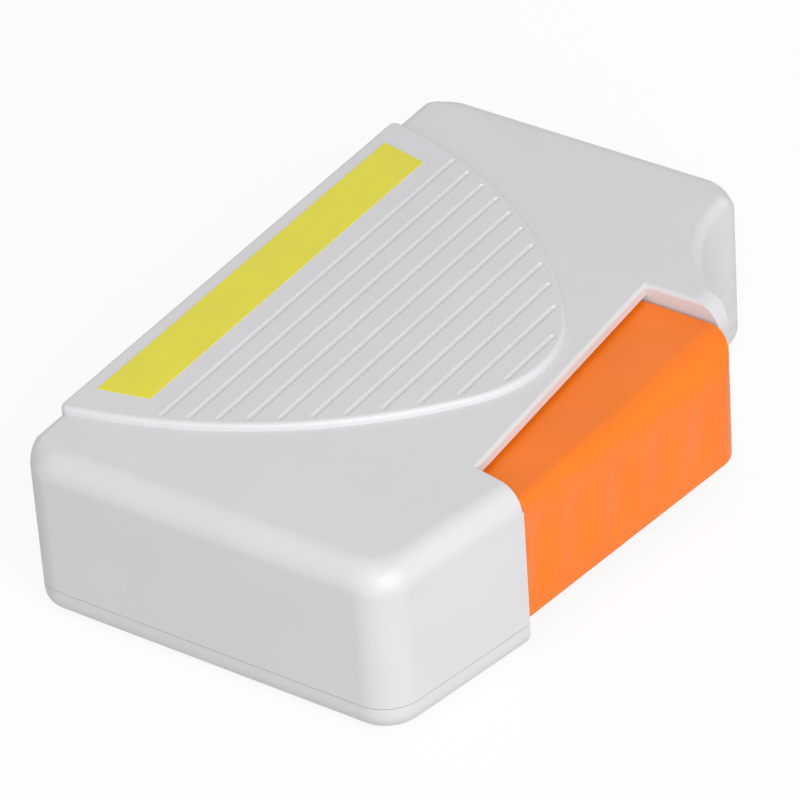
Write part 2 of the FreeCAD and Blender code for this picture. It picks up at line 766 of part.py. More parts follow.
def lower_shell():
    """Shallow tray with its rim, posts, bosses and shutter rail, notched under the lever."""
    blank = case_block("tray_blank", "0", "parting_height - parting_line")
    block = rounded("tray_block", blank, base_edge)
    rim_far = ("notch_far_x + wall", notch_line("notch_far_x + wall") + " + tray_wall")
    rim_near_x = "lower_near_x - wall"
    hollow_corners = ends_and_label_side("tray_wall") + [
        ("scoop_x", "far_wall_y + tray_wall"),
        ("scoop_x - scoop_radius / 2", "far_wall_y + tray_wall"),
        rim_far,
        (rim_near_x, notch_line(rim_near_x) + " + tray_wall"),
        (rim_near_x, near_wall(rim_near_x, "tray_wall")),
        near_corner("tray_wall"),
    ]
    hollow = prism("tray_hollow", hollow_corners, "base_wall", "parting_height + wall")
    notch_corners = [
        ("lower_near_x", notch_line("lower_near_x")),
        ("notch_far_x", "notch_far_y"),
        ("notch_far_x", "outside_y"),
        ("lower_near_x", "outside_y"),
    ]
    notch = prism("tray_notch", notch_corners, "-wall", "parting_height + wall")
    hub_x = "pivot_x - pivot_boss_radius - fit_gap"
    sill_corners = [
        (hub_x, near_wall(hub_x, "wall")),
        ("notch_far_x", near_wall("notch_far_x", "wall")),
        ("notch_far_x", "0"),
        (hub_x, "0"),
    ]
    sill = prism("lever_sill", sill_corners, "lever_low - 2 * seat_gap", "parting_height + wall")
    tray = cut("tray", block, [hollow, notch, sill])
    top = "parting_height + rim_height"
    outer = prism("rim_outer", rim_corners("(wall + fit_gap)"), "parting_height - wall", top)
    inner = prism("rim_inner", rim_corners("tray_wall"), "base_wall", "parting_height + wall")
    gap = box("rim_gap", ("pivot_x - 2 * pivot_boss_radius", "scoop_x"), ("outside_y", "0"),
              ("base_wall", "parting_height + wall"))
    added = [tray, cut("rim", outer, [inner, gap])]
    removed = []
    foot = "base_wall / 2"
    for i, (x, y) in enumerate(SCREW_PLACES):
        added.append(cylinder(f"tray_boss_{i}", "screw_boss_radius", x, y, foot, "parting_height"))
        clear = "screw_radius + fit_gap"
        removed.append(cylinder(f"clear_{i}", clear, x, y, "-wall", "parting_height + wall"))
        radius = "screw_head_radius + 2 * fit_gap"
        removed.append(cylinder(f"recess_{i}", radius, x, y, "-wall", "screw_recess"))
    shoulders = {"supply_post": "reel_low - seat_gap", "takeup_post": "gear_low - seat_gap"}
    for name, x, y in POST_PLACES:
        added.append(cylinder(name + "_foot", "post_radius + wall / 2", x, y, foot, shoulders[name]))
        added.append(cylinder(name, "post_radius", x, y, foot, "reel_high + seat_gap"))
        added.append(cylinder(name + "_tip", "post_tip_radius", x, y, foot, "ceiling - seat_gap"))
    for name, x, y in PIN_PLACES:
        collar = "roller_pin_radius + wall / 2"
        added.append(cylinder(name + "_foot", collar, x, y, foot, "tape_low - seat_gap"))
        added.append(cylinder(name, "roller_pin_radius", x, y, foot, "ceiling - seat_gap"))
    centre = ("link_x", "link_y")
    added.append(cylinder("link_foot", "link_post_radius + wall / 2", *centre, foot, "link_low - seat_gap"))
    tip = "link_low + link_thickness + wall / 2"
    added.append(cylinder("link_post", "link_post_radius", *centre, foot, tip))
    hub = ("pivot_x", "pivot_y")
    added.append(cylinder("tray_pivot", "pivot_boss_radius", *hub, foot, "lever_low - seat_gap"))
    removed.append(cylinder("tray_pivot_hole", "pivot_pin_radius", *hub, "base_wall", "lever_low"))
    rail = ("rail_near_x", "rail_far_x")
    added.append(box("rail_floor", rail, ("rail_y - rail_wall", "label_face - wall - fit_gap"),
                     (foot, "shutter_low - seat_gap / 2")))
    added.append(box("rail_back", rail, ("rail_y - rail_wall", "rail_y"), (foot, "tab_low - seat_gap")))
    added.append(box("rail_front", rail, ("shutter_front + fit_gap", "label_face - wall - fit_gap"),
                     (foot, "shutter_low + rail_overlap")))
    for reel in ("supply", "takeup"):
        added.append(brake_post(reel))
        removed.append(brake_strip(reel + "_brake_slit", reel, "running_gap"))
    return cut("lower_shell", fuse("tray_whole", added), removed)


def rim_corners(inset):
    """Outline of the rim that locates the cover, a distance inside the outer faces of the case."""
    return ends_and_label_side(inset) + [
        ("notch_far_x", f"far_wall_y + {inset}"),
        ("notch_near_x", near_wall("notch_near_x", inset)),
        near_corner(inset),
    ]


def brake_point(reel, along, out):
    """Place beside a reel's rim: along the brake strip from where they meet, and out from the rim."""
    angle = f"{reel}_brake_angle"
    side = "1" if reel == "takeup" else "-1"
    far = f"({reel}_flange_radius + brake_gap + {out})"
    x = f"{reel}_x + {far} * cos({angle}) - {side} * ({along}) * sin({angle})"
    y = f"{reel}_y + {far} * sin({angle}) + {side} * ({along}) * cos({angle})"
    return x, y


def brake_strip(name, reel, spare):
    """Straight leaf spring that lies against a reel's upper flange, with some spare room all round."""
    start = f"-brake_tail - {spare}"
    end = f"brake_length - brake_tail + {spare}"
    thick = f"brake_thickness + {spare}"
    corners = [brake_point(reel, start, f"-{spare}"), brake_point(reel, end, f"-{spare}"),
               brake_point(reel, end, thick), brake_point(reel, start, thick)]
    return prism(name, corners, f"reel_high - brake_height - {spare}", "reel_high")


def brake_post(reel):
    """Post that holds the end of a brake strip."""
    x, y = brake_point(reel, "brake_length - brake_tail - brake_post_radius", "brake_thickness / 2")
    top = "reel_high - seat_gap"
    return cylinder(reel + "_brake_post", "brake_post_radius", x, y, "base_wall / 2", top)


def front_line(x):
    """Y of the lever's front face at x."""
    return f"lever_near_y + ({x} - lever_near_x) * lever_slope"


def polar(radius, angle):
    """Point at a distance and an angle from the origin, as numbers."""
    turn_by = math.radians(angle)
    return FreeCAD.Vector(radius * math.cos(turn_by), radius * math.sin(turn_by), 0)


def lever_edge_radius(x):
    """Radius of the lever's front top edge at x, wider towards the far end."""
    return f"(lever_near_fillet + ({x} - lever_near_x) * lever_edge_rate / cos(lever_lean))"


def lever_edge_section(x):
    """Square section at x that holds what is taken off to round the lever's front top edge."""
    radius = lever_edge_radius(x)
    front = f"({front_line(x)})"
    back = f"{front} + {radius} / cos(lever_lean)"
    low = f"lever_high - {radius}"
    high = "lever_high + wall"
    return [(f"{front} - wall", low), (back, low), (back, high), (f"{front} - wall", high)]


def lever_edge(near_x, far_x):
    """What is taken off to round the lever's front top edge: a tapered square bar less a cone."""
    bar = tapered("lever_edge_bar", lever_edge_section, near_x, far_x)
    centres = []
    for x in (near_x, far_x):
        radius = lever_edge_radius(x)
        along = f"{x} - {radius} * sin(lever_lean)"
        inward = f"{front_line(x)} + {radius} * cos(lever_lean)"
        centres.append(FreeCAD.Vector(number(along), number(inward), number(f"lever_high - {radius}")))
    axis = FreeCAD.Rotation(FreeCAD.Vector(0, 0, 1), centres[1] - centres[0])
    cone = doc.addObject("Part::Cone", "lever_edge_cone")
    widening = "sqrt(1 - (lever_edge_rate / lever_edge_slant) ^ 2)"
    cone.setExpression("Radius1", bind(f"{lever_edge_radius(near_x)} / {widening}"))
    cone.setExpression("Radius2", bind(f"{lever_edge_radius(far_x)} / {widening}"))
    cone.setExpression("Height", bind(f"(({far_x}) - ({near_x})) / cos(lever_lean) * lever_edge_slant"))
    cone.Placement = FreeCAD.Placement(centres[0], axis)
    return cut("lever_edge", bar, [cone])


def lever_skin():
    """Hollow outer form of the lever, open towards the inside of the case."""
    root_y = near_wall("lever_root_x", "wall + lever_clear")
    corners = [
        ("lever_near_x", "lever_near_y"),
        ("lever_far_x", "lever_far_y", "lever_end_fillet"),
        ("lever_inner_x", notch_line("lever_inner_x") + " + lever_tuck"),
        ("lever_root_x", notch_line("lever_root_x") + " + lever_tuck"),
        ("lever_root_x", root_y),
        ("lever_near_x", root_y),
    ]

    def foot_edge(edge):
        front = min(vertex.Y for vertex in edge.Vertexes) < number("lever_near_y") - CLOSE
        return both_ends("lever_foot_fillet") if front and at_height(edge, number("lever_low")) else None

    block = rounded("lever_foot", prism("lever_block", corners, "lever_low", "lever_high"), foot_edge)
    edge = lever_edge("lever_near_x - lever_gap", "lever_far_x + wall")
    hollow_far_x = "lever_far_x - lever_wall"
    hollow_near_x = "lever_near_x + lever_wall"
    hollow_corners = [
        (hollow_near_x, front_line(hollow_near_x) + " + lever_wall_y"),
        (hollow_far_x, front_line(hollow_far_x) + " + lever_wall_y"),
        (hollow_far_x, "0"),
        (hollow_near_x, "0"),
    ]
    hollow = prism("lever_hollow", hollow_corners, "lever_low + lever_wall", "lever_high - lever_wall")
    return cut("lever_skin", block, [edge, hollow] + flutes())


def flutes():
    """Shallow upright finger flutes with round ends, evenly spaced along the front face."""
    tools = []
    lean = "cos(lever_lean)"
    for i in range(int(number("flute_count"))):
        along = f"(flute_first_x + {i} * flute_pitch)"
        out = "(flute_radius - flute_depth)"
        x = f"{along} + {out} * lever_slope * {lean}"
        y = f"{front_line(along)} - {out} * {lean}"
        tools.append(cylinder(f"flute_{i}", "flute_radius", x, y, "flute_low", "flute_high"))
        for name, z in (("low", "flute_low"), ("high", "flute_high")):
            ball = doc.addObject("Part::Sphere", f"flute_{i}_{name}")
            ball.setExpression("Radius", bind("flute_radius"))
            tools.append(place(ball, x, y, z))
    return tools


def tooth_edges(teeth, index, start_angle):
    """Both flanks and the tip of one involute tooth, and the two points where it leaves the root."""
    module = number("gear_module")
    pitch_radius = module * teeth / 2
    pressure = math.radians(number("pressure_angle"))
    base_radius = pitch_radius * math.cos(pressure)
    root_radius = pitch_radius - number("tooth_root") * module
    tip_radius = pitch_radius + module
    half_tooth = math.pi / 2 / teeth - number("backlash") / 4 / pitch_radius
    middle = math.radians(start_angle) + 2 * math.pi * index / teeth

    def flank_point(radius, side):
        roll = math.acos(min(1.0, base_radius / radius))
        half_angle = half_tooth + math.tan(pressure) - pressure - (math.tan(roll) - roll)
        return polar(radius, math.degrees(middle + side * half_angle))

    start_radius = max(root_radius, base_radius)
    middle_radius = (start_radius + tip_radius) / 2
    edges = []
    for side in (-1, 1):
        foot, mid, tip = (flank_point(radius, side) for radius in (start_radius, middle_radius, tip_radius))
        edges.append(Part.Arc(foot, mid, tip).toShape())
        if root_radius < base_radius:
            edges.append(Part.LineSegment(flank_point(root_radius, side), foot).toShape())
    top = polar(tip_radius, math.degrees(middle))
    edges.append(Part.Arc(flank_point(tip_radius, -1), top, flank_point(tip_radius, 1)).toShape())
    return edges, [flank_point(root_radius, side) for side in (-1, 1)]


def toothed_wire(teeth, indices, start_angle, closing):
    """Outline of teeth joined by straight roots; closing gives the points that close a part of a wheel."""
    edges = []
    roots = []
    for index in indices:
        tooth, root = tooth_edges(teeth, index, start_angle)
        edges += tooth
        roots.append(root)
    for before, after in zip(roots, roots[1:]):
        edges.append(Part.LineSegment(before[1], after[0]).toShape())
    chain = [roots[-1][1]] + closing + [roots[0][0]]
    edges += [Part.LineSegment(start, end).toShape() for start, end in zip(chain, chain[1:])]
    return Part.Wire(Part.__sortEdges__(edges))


def extruded(wire, low, high):
    """Upright solid on a closed wire between two heights."""
    face = Part.Face(wire)
    face.translate(FreeCAD.Vector(0, 0, low))
    return face.extrude(FreeCAD.Vector(0, 0, high - low))


def stroke_teeth():
    """Teeth of the sector that pass the pinion in one stroke."""
    return math.ceil(number("press_angle / sector_pitch"))


def lever_sector():
    """Toothed end of the lever's arm, as many teeth as the stroke needs and one more at each end."""
    teeth = int(number("sector_teeth"))
    used = stroke_teeth()
    back = number("sector_radius - sector_depth * gear_module")
    angle = number("drive_angle")
    end = number("sector_end")
    closing = [polar(back, angle + number("sector_pitch") * step) for step in (end, -used - end)]
    wire = toothed_wire(teeth, range(-used - 1, 2), angle, closing)
    item = solid("lever_sector", extruded(wire, number("lever_low"), number("lever_low + lever_arm")))
    return place(item, "pivot_x", "pivot_y")


def from_pivot(radius, angle):
    """Expressions for a place at a distance and angle from the lever pivot."""
    return f"pivot_x + ({radius}) * cos({angle})", f"pivot_y + ({radius}) * sin({angle})"


def lever():
    """Squeeze lever: outer form, pivot hub, and an arm with toothed sector and link slot."""
    far = "sector_radius - arm_lap * gear_module"
    slot_angle = "(link_angle - press_angle / 2)"
    slot_radius = "link_distance - link_short"
    eye = "2 * link_pin_radius"
    arm_corners = [
        ("lever_root_x + lever_wall", notch_line("lever_root_x")),
        ("arm_root_x", notch_line("arm_root_x")),
        from_pivot(far, f"drive_angle - ({stroke_teeth()} + arm_end) * sector_pitch"),
        from_pivot(far, "drive_angle + arm_end * sector_pitch"),
        from_pivot(f"{slot_radius} + {eye}", "drive_angle - sector_pitch"),
        from_pivot(f"{slot_radius} + {eye}", slot_angle + " - eye_before"),
        from_pivot(f"{slot_radius} + {eye}", slot_angle + " + eye_after"),
        from_pivot(f"{slot_radius} - {eye}", slot_angle + " + eye_after"),
        ("lever_root_x + lever_wall", notch_line("lever_root_x") + " + 2 * lever_tuck"),
    ]
    arm = prism("lever_arm", arm_corners, "lever_low", "lever_low + lever_arm")
    hub = cylinder("lever_hub", "pivot_boss_radius", "pivot_x", "pivot_y", "lever_low", "lever_hub_high")
    half = "pivot_boss_radius / 2"
    web = box("lever_web", ("pivot_x", "lever_root_x + lever_wall / 2"),
              (f"pivot_y - {half}", f"pivot_y + {half}"), ("lever_low", "lever_hub_high"))
    spigot_y = front_line("spring_x") + " + lever_wall_y + spigot_length"
    spigot = level_rod("lever_spigot", "spigot_radius", "spring_x", spigot_y, "spring_z",
                       "spigot_length + lever_wall / 2")
    whole = fuse("lever_whole", [lever_skin(), lever_sector(), arm, hub, web, spigot])
    bore = cylinder("lever_bore", "pivot_pin_radius + running_gap", "pivot_x", "pivot_y", "0", "lever_high")
    reach = "(link_pin_radius + 4 * fit_gap)"
    width = "(link_pin_radius + fit_gap)"
    slot = box("link_slot", ("0", f"2 * {reach}"), ("0", f"2 * {width}"), ("0", "lever_high"))
    turn(slot, (0, 0, 1), slot_angle)
    x, y = from_pivot(f"{slot_radius} - {reach}", slot_angle)
    place(slot, f"{x} + {width} * sin({slot_angle})", f"{y} - {width} * cos({slot_angle})", "0")
    return cut("lever", whole, [bore, slot])


def keys(name, spare):
    """Short pins around the take-up post, or the holes for them with some spare room."""
    pins = []
    for i in range(int(number("key_count"))):
        angle = f"(360 / key_count * {i})"
        x = f"takeup_x + (post_radius + hub_radius) / 2 * cos({angle})"
        y = f"takeup_y + (post_radius + hub_radius) / 2 * sin({angle})"
        radius = f"(hub_radius - post_radius) / 4 + {spare}"
        pins.append(cylinder(f"{name}_{i}", radius, x, y, "gear_high - seat_gap", f"disc_high + {spare}"))
    return pins


def drive_gear():
    """Pinion under the take-up reel, with pins on top that key the ratchet disc."""
    teeth = int(number("gear_teeth"))
    start = number("drive_angle") + 180 + 180 / teeth
    wire = toothed_wire(teeth, range(teeth), start, [])
    shape = extruded(wire, number("gear_low"), number("gear_high"))
    wheel = place(solid("drive_wheel", shape), "takeup_x", "takeup_y")
    bore = cylinder("drive_bore", "post_radius + running_gap", "takeup_x", "takeup_y", "0", "disc_high")
    return cut("drive_gear", fuse("drive_whole", [wheel] + keys("drive_key", "0")), [bore])


def ratchet_disc():
    """Disc with spring fingers whose tips rest against the ratchet steps of the take-up skirt."""
    count = int(number("finger_count"))
    tip = number("ratchet_radius - 2 * fit_gap")
    root = number("hub_radius")
    width = number("finger_width")
    sweep = number("finger_sweep")
    hub = "hub_radius + running_gap"
    fingers = [cylinder("disc_hub", hub, "takeup_x", "takeup_y", "gear_high", "disc_high")]
    for i in range(count):
        angle = 360 / count * i + math.degrees(number("fit_gap") / tip)
        points = [polar(tip, angle), polar(root + width / 2, angle + sweep),
                  polar(root - width / 2, angle + sweep), polar(tip - width, angle), polar(tip, angle)]
        shape = extruded(Part.makePolygon(points), number("gear_high"), number("disc_high"))
        fingers.append(place(solid(f"disc_finger_{i}", shape), "takeup_x", "takeup_y"))
    bore = cylinder("disc_bore", "post_radius + running_gap", "takeup_x", "takeup_y", "0", "reel_low")
    return cut("ratchet_disc", fuse("disc_whole", fingers), [bore] + keys("disc_key", "running_gap"))


def reel_profile(flange, low):
    """Half section of a reel: hub from its lower end, and two flanges."""
    inner = "post_radius + running_gap"
    return [
        (inner, low),
        ("hub_radius", low),
        ("hub_radius", "reel_low"),
        (flange, "reel_low"),
        (flange, "reel_low + flange_thickness"),
        ("hub_radius", "reel_low + flange_thickness"),
        ("hub_radius", "reel_high - flange_thickness"),
        (flange, "reel_high - flange_thickness"),
        (flange, "reel_high"),
        (inner, "reel_high"),
    ]


def supply_reel():
    """Spool of the fresh tape."""
    profile = reel_profile("supply_flange_radius", "reel_low")
    return turned("supply_reel", profile[:1] + profile[3:], "supply_x", "supply_y")


def takeup_reel():
    """Spool of the used tape, with a skirt of inside ratchet steps under its lower flange."""
    profile = reel_profile("takeup_flange_radius", "disc_high + seat_gap")
    spool = turned("takeup_spool", profile, "takeup_x", "takeup_y")
    teeth = int(number("ratchet_teeth"))
    outer = number("ratchet_radius")
    points = []
    for i in range(teeth):
        angle = 360 / teeth * i
        points += [polar(outer - number("ratchet_depth"), angle), polar(outer, angle)]
    steps = extruded(Part.makePolygon(points + points[:1]), number("gear_high"), number("reel_low"))
    tool = place(solid("ratchet_steps", steps), "takeup_x", "takeup_y")
    skirt = cylinder("skirt", "ratchet_radius + skirt_wall", "takeup_x", "takeup_y",
                     "gear_high + seat_gap", "reel_low")
    return fuse("takeup_reel", [spool, cut("ratchet_skirt", skirt, [tool])])


def tape_roll(name, reel):
    """Tape wound on a reel, taken as one solid."""
    radius = f"{reel}_roll_radius"
    inner = "hub_radius + running_gap"
    profile = [(inner, "tape_low"), (radius, "tape_low"), (radius, "tape_high"), (inner, "tape_high")]
    return turned(name, profile, f"{reel}_x", f"{reel}_y")


def tape_run():
    """Free stretch of tape: off the supply roll, round both guide rollers, on to the take-up roll."""
    supply = FreeCAD.Vector(number("supply_x"), number("supply_y"), 0)
    near = FreeCAD.Vector(-number("roller_x"), number("roller_y"), 0)
    far = FreeCAD.Vector(number("roller_x"), number("roller_y"), 0)
    takeup = FreeCAD.Vector(number("takeup_x"), number("takeup_y"), 0)
    full = number("supply_roll_radius")
    used = number("takeup_roll_radius")
    roller = number("roller_radius")
    up = FreeCAD.Vector(0, 1, 0)

    def touch(start, start_radius, end, end_radius):
        """Direction from both centres to the straight tape that passes left of two rounds."""
        way = end - start
        bend = math.acos((start_radius - end_radius) / way.Length)
        return polar(1, math.degrees(math.atan2(way.y, way.x) + bend))

    first = touch(supply, full, near, roller)
    last = touch(far, roller, takeup, used)

    def tape_face(spare):
        """Edges of one face of the tape, a distance off the rounds, and its two ends."""
        start = supply + first * (full + spare)
        end = takeup + last * (used + spare)
        bends = []
        for centre, way_in, way_out in ((near, first, up), (far, up, last)):
            middle = (way_in + way_out).normalize()
            bends.append([centre + way * (roller + spare) for way in (way_in, middle, way_out)])
        edges = [
            Part.LineSegment(start, bends[0][0]).toShape(),
            Part.Arc(*bends[0]).toShape(),
            Part.LineSegment(bends[0][2], bends[1][0]).toShape(),
            Part.Arc(*bends[1]).toShape(),
            Part.LineSegment(bends[1][2], end).toShape(),
        ]
        return edges, start, end

    inner, inner_start, inner_end = tape_face(number("tape_gap"))
    outer, outer_start, outer_end = tape_face(number("tape_gap + tape_thickness"))
    pairs = ((inner_start, outer_start), (inner_end, outer_end))
    ends = [Part.LineSegment(*pair).toShape() for pair in pairs]
    wire = Part.Wire(Part.__sortEdges__(inner + outer + ends))
    return solid("tape_run", extruded(wire, number("tape_low"), number("tape_high")))


def guide_roller(name, x):
    """Plain roller that turns the tape round a corner."""
    inner = "roller_pin_radius + running_gap"
    profile = [(inner, "tape_low"), ("roller_radius", "tape_low"),
               ("roller_radius", "tape_high"), (inner, "tape_high")]
    return turned(name, profile, x, "roller_y")


def pad_holder():
    """Bridge behind the cleaning slots; the shutter link passes between its legs."""
    depth = ("pad_back - holder_thickness", "pad_back")
    parts = [box("holder_bridge", ("-pad_end", "pad_end"), depth, ("tape_low", "tape_high"))]
    for name, low in (("near_leg", "-pad_end"), ("far_leg", "pad_end - holder_leg")):
        parts.append(box(name, (low, f"{low} + holder_leg"), depth, ("base_wall", "tape_high")))
    return fuse("pad_holder", parts)


def pad(name, middle):
    """Rubber pad that backs the tape behind one slot."""
    return box(name, (f"{middle} - pad_length / 2", f"{middle} + pad_length / 2"),
               ("pad_back", "pad_front"),
               ("tape_middle - pad_height / 2", "tape_middle + pad_height / 2"))


def shutter():
    """Plate with two windows that slide in front of the slots, and a slotted tab for the link."""
    plate = box("shutter_plate", ("shutter_near_x", "shutter_far_x"),
                ("shutter_back", "shutter_back + shutter_thickness"), ("shutter_low", "shutter_high"))
    tools = []
    for name, middle in (("near_window", "-slot_middle"), ("far_window", "slot_middle")):
        x = f"{middle} - shutter_travel"
        tools.append(box(name, (f"{x} - slot_length / 2", f"{x} + slot_length / 2"),
                         ("shutter_back - wall", "label_face"), ("slot_low", "slot_high")))
    tab_x = "(link_x - shutter_travel / 2)"
    end_y = "(link_y + link_long)"
    dip = "link_long * (1 - cos(link_swing / 2))"
    half = "(link_pin_radius + wall)"
    tab = box("shutter_tab", (f"{tab_x} - {half}", f"{tab_x} + {half}"),
              (f"{end_y} - {dip} - {half}", "shutter_back + shutter_thickness / 2"),
              ("tab_low", "tab_low + tab_thickness"))
    room = "(link_pin_radius + fit_gap)"
    tools.append(box("tab_slot", (f"{tab_x} - {room}", f"{tab_x} + {room}"),
                     (f"{end_y} - {dip} - {room} - fit_gap", f"{end_y} + {room} + fit_gap"),
                     ("0", "tape_low")))
    return cut("shutter", fuse("shutter_whole", [plate, tab]), tools)


def shutter_link():
    """Bell crank: its short arm is moved by the lever, its long arm moves the shutter."""
    high = "link_low + link_thickness"
    centre = ("link_x", "link_y")
    long_angle = "(90 + link_swing / 2)"
    short_angle = "(link_angle + 180 + link_swing / 2)"
    parts = [cylinder("link_hub", "link_post_radius + wall", *centre, "link_low", high)]
    pins = (("long", long_angle, "link_long", "link_low", "tab_low + tab_thickness"),
            ("short", short_angle, "link_short", "lever_low", high))
    half = "link_width / 2"
    for name, angle, length, pin_low, pin_high in pins:
        x, y = (f"link_x + {length} * cos({angle})", f"link_y + {length} * sin({angle})")
        parts.append(cylinder(f"link_{name}_pin", "link_pin_radius", x, y, pin_low, pin_high))
        parts.append(cylinder(f"link_{name}_end", half, x, y, "link_low", high))
        arm = box(f"link_{name}_arm", ("0", length), ("0", "link_width"), ("link_low", high))
        turn(arm, (0, 0, 1), angle)
        side = (f"link_x + {half} * sin({angle})", f"link_y - {half} * cos({angle})")
        parts.append(place(arm, *side, "link_low"))
    bore = cylinder("link_bore", "link_post_radius + running_gap", *centre, "0", "tape_low")
    return cut("shutter_link", fuse("link_whole", parts), [bore])


def lever_return_spring():
    """Coil spring between the cover's seat and the inside of the lever's front wall."""
    wire = number("spring_wire_radius")
    radius = number("spring_radius")
    start = number("spring_seat_y - spring_wire_radius - fit_gap")
    lever_side = front_line("spring_x") + " + lever_wall_y + spring_radius * abs(lever_slope)"
    end = number(lever_side + " + spring_wire_radius + 2 * fit_gap")
    helix = Part.makeHelix((start - end) / number("spring_turns"), start - end, radius)
    sides = int(number("spring_wire_sides"))
    section = [polar(wire, 360 / sides * i) for i in range(sides + 1)]
    ring = Part.makePolygon([FreeCAD.Vector(radius + point.x, 0, point.y) for point in section])
    item = solid("lever_return_spring", Part.Wire(helix).makePipeShell([ring], True, True))
    item.Placement.Rotation = FreeCAD.Rotation(FreeCAD.Vector(1, 0, 0), 90)
    return place(item, "spring_x", "spring_seat_y - spring_wire_radius - fit_gap", "spring_z")


def case_screws():
    """Four pan-head screws from below, seated in their recesses."""
    head = "screw_recess - screw_head_height"
    tip = "screw_recess + screw_length"
    profile = [("0", head), ("screw_head_radius", head), ("screw_head_radius", "screw_recess"),
               ("screw_radius", "screw_recess"), ("screw_radius", f"{tip} - screw_radius"), ("0", tip)]
    group = doc.addObject("Part::Compound", "case_screws")
    group.Links = [turned(f"screw_{i}", profile, x, y) for i, (x, y) in enumerate(SCREW_PLACES)]
    return group


def label():
    """Thin label on the panel, with slanted ends."""
    low = "(label_half_width - label_taper)"
    corners = [
        ("panel_middle - label_half_width", "label_high_y"),
        ("panel_middle + label_half_width", "label_high_y"),
        (f"panel_middle + {low}", "label_low_y"),
        (f"panel_middle - {low}", "label_low_y"),
    ]
    return prism("label", corners, "panel_top", "panel_top + label_thickness")


def lever_pivot_pin():
    """Steel pin that the lever turns on, held in both shells."""
    return cylinder("lever_pivot_pin", "pivot_pin_radius", "pivot_x", "pivot_y", "base_wall", "ceiling")


SUBPARTS = [
    upper_shell(),
    lower_shell(),
    label(),
    case_screws(),
    lever(),
    lever_pivot_pin(),
    lever_return_spring(),
    drive_gear(),
    ratchet_disc(),
    takeup_reel(),
    tape_roll("takeup_roll", "takeup"),
    supply_reel(),
    tape_roll("supply_roll", "supply"),
    tape_run(),
    guide_roller("supply_guide_roller", "-roller_x"),
    guide_roller("takeup_guide_roller", "roller_x"),
    pad_holder(),
    pad("near_pad", "-slot_middle"),
    pad("far_pad", "slot_middle"),
    shutter(),
    shutter_link(),
    brake_strip("supply_brake_spring", "supply", "0"),
    brake_strip("takeup_brake_spring", "takeup", "0"),
]

doc.recompute()
for item in doc.Objects:
    if "Invalid" in item.State or "Error" in item.State:
        raise RuntimeError(f"{item.Name} failed: {item.State}")
for item in SUBPARTS:
    if item.Shape.isNull() or not item.Shape.isValid():
        raise RuntimeError(f"{item.Label} has no valid shape")

os.makedirs("parts", exist_ok=True)
for item in SUBPARTS:
    item.Shape.exportStep(f"parts/{item.Label}.step")
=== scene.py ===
import math

import bmesh
import bpy
import numpy as np
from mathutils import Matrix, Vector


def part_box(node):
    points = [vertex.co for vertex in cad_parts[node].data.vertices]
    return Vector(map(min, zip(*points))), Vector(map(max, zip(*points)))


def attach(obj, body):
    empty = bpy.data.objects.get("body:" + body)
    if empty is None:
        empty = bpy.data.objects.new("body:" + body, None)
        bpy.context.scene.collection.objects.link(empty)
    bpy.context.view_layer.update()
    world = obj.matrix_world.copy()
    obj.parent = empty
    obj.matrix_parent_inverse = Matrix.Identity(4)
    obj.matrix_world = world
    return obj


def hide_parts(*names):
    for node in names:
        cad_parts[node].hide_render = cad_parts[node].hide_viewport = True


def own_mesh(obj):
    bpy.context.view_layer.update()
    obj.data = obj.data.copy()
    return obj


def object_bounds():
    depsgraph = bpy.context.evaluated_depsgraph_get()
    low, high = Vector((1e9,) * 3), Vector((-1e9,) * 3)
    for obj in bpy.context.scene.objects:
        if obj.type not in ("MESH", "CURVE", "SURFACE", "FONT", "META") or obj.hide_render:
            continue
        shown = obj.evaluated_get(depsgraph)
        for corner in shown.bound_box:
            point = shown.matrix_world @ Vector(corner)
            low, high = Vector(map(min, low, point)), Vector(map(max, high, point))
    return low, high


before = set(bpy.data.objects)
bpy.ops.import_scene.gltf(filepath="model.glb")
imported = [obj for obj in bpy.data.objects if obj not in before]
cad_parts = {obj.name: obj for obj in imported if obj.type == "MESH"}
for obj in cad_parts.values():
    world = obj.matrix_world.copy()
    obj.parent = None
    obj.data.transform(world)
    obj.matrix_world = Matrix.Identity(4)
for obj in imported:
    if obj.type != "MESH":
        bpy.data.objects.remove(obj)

bl_info = {
    "name": "Fibre connector cleaning box",
    "version": (1, 0, 0),
    "blender": (4, 5, 0),
    "location": "View3D > Sidebar > Cleaning box",
    "description": "Finishes, fasteners, return spring and studio for the cleaning box",
    "category": "Object",
}

CAD_BOX = [list(corner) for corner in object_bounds()]
MM = 0.001
TINY = 1e-9


def length(name, description, default):
    """A size property in metres."""
    return bpy.props.FloatProperty(name=name, description=description, default=default, min=0.0,
                                   precision=5, subtype="DISTANCE", unit="LENGTH")


def colour(name, description, default):
    """A colour property."""
    return bpy.props.FloatVectorProperty(name=name, description=description, default=default, size=3,
                                         min=0.0, max=1.0, subtype="COLOR")


def share(name, description, default):
    """A property from 0 to 1."""
    return bpy.props.FloatProperty(name=name, description=description, default=default, min=0.0, max=1.0,
                                   subtype="FACTOR")


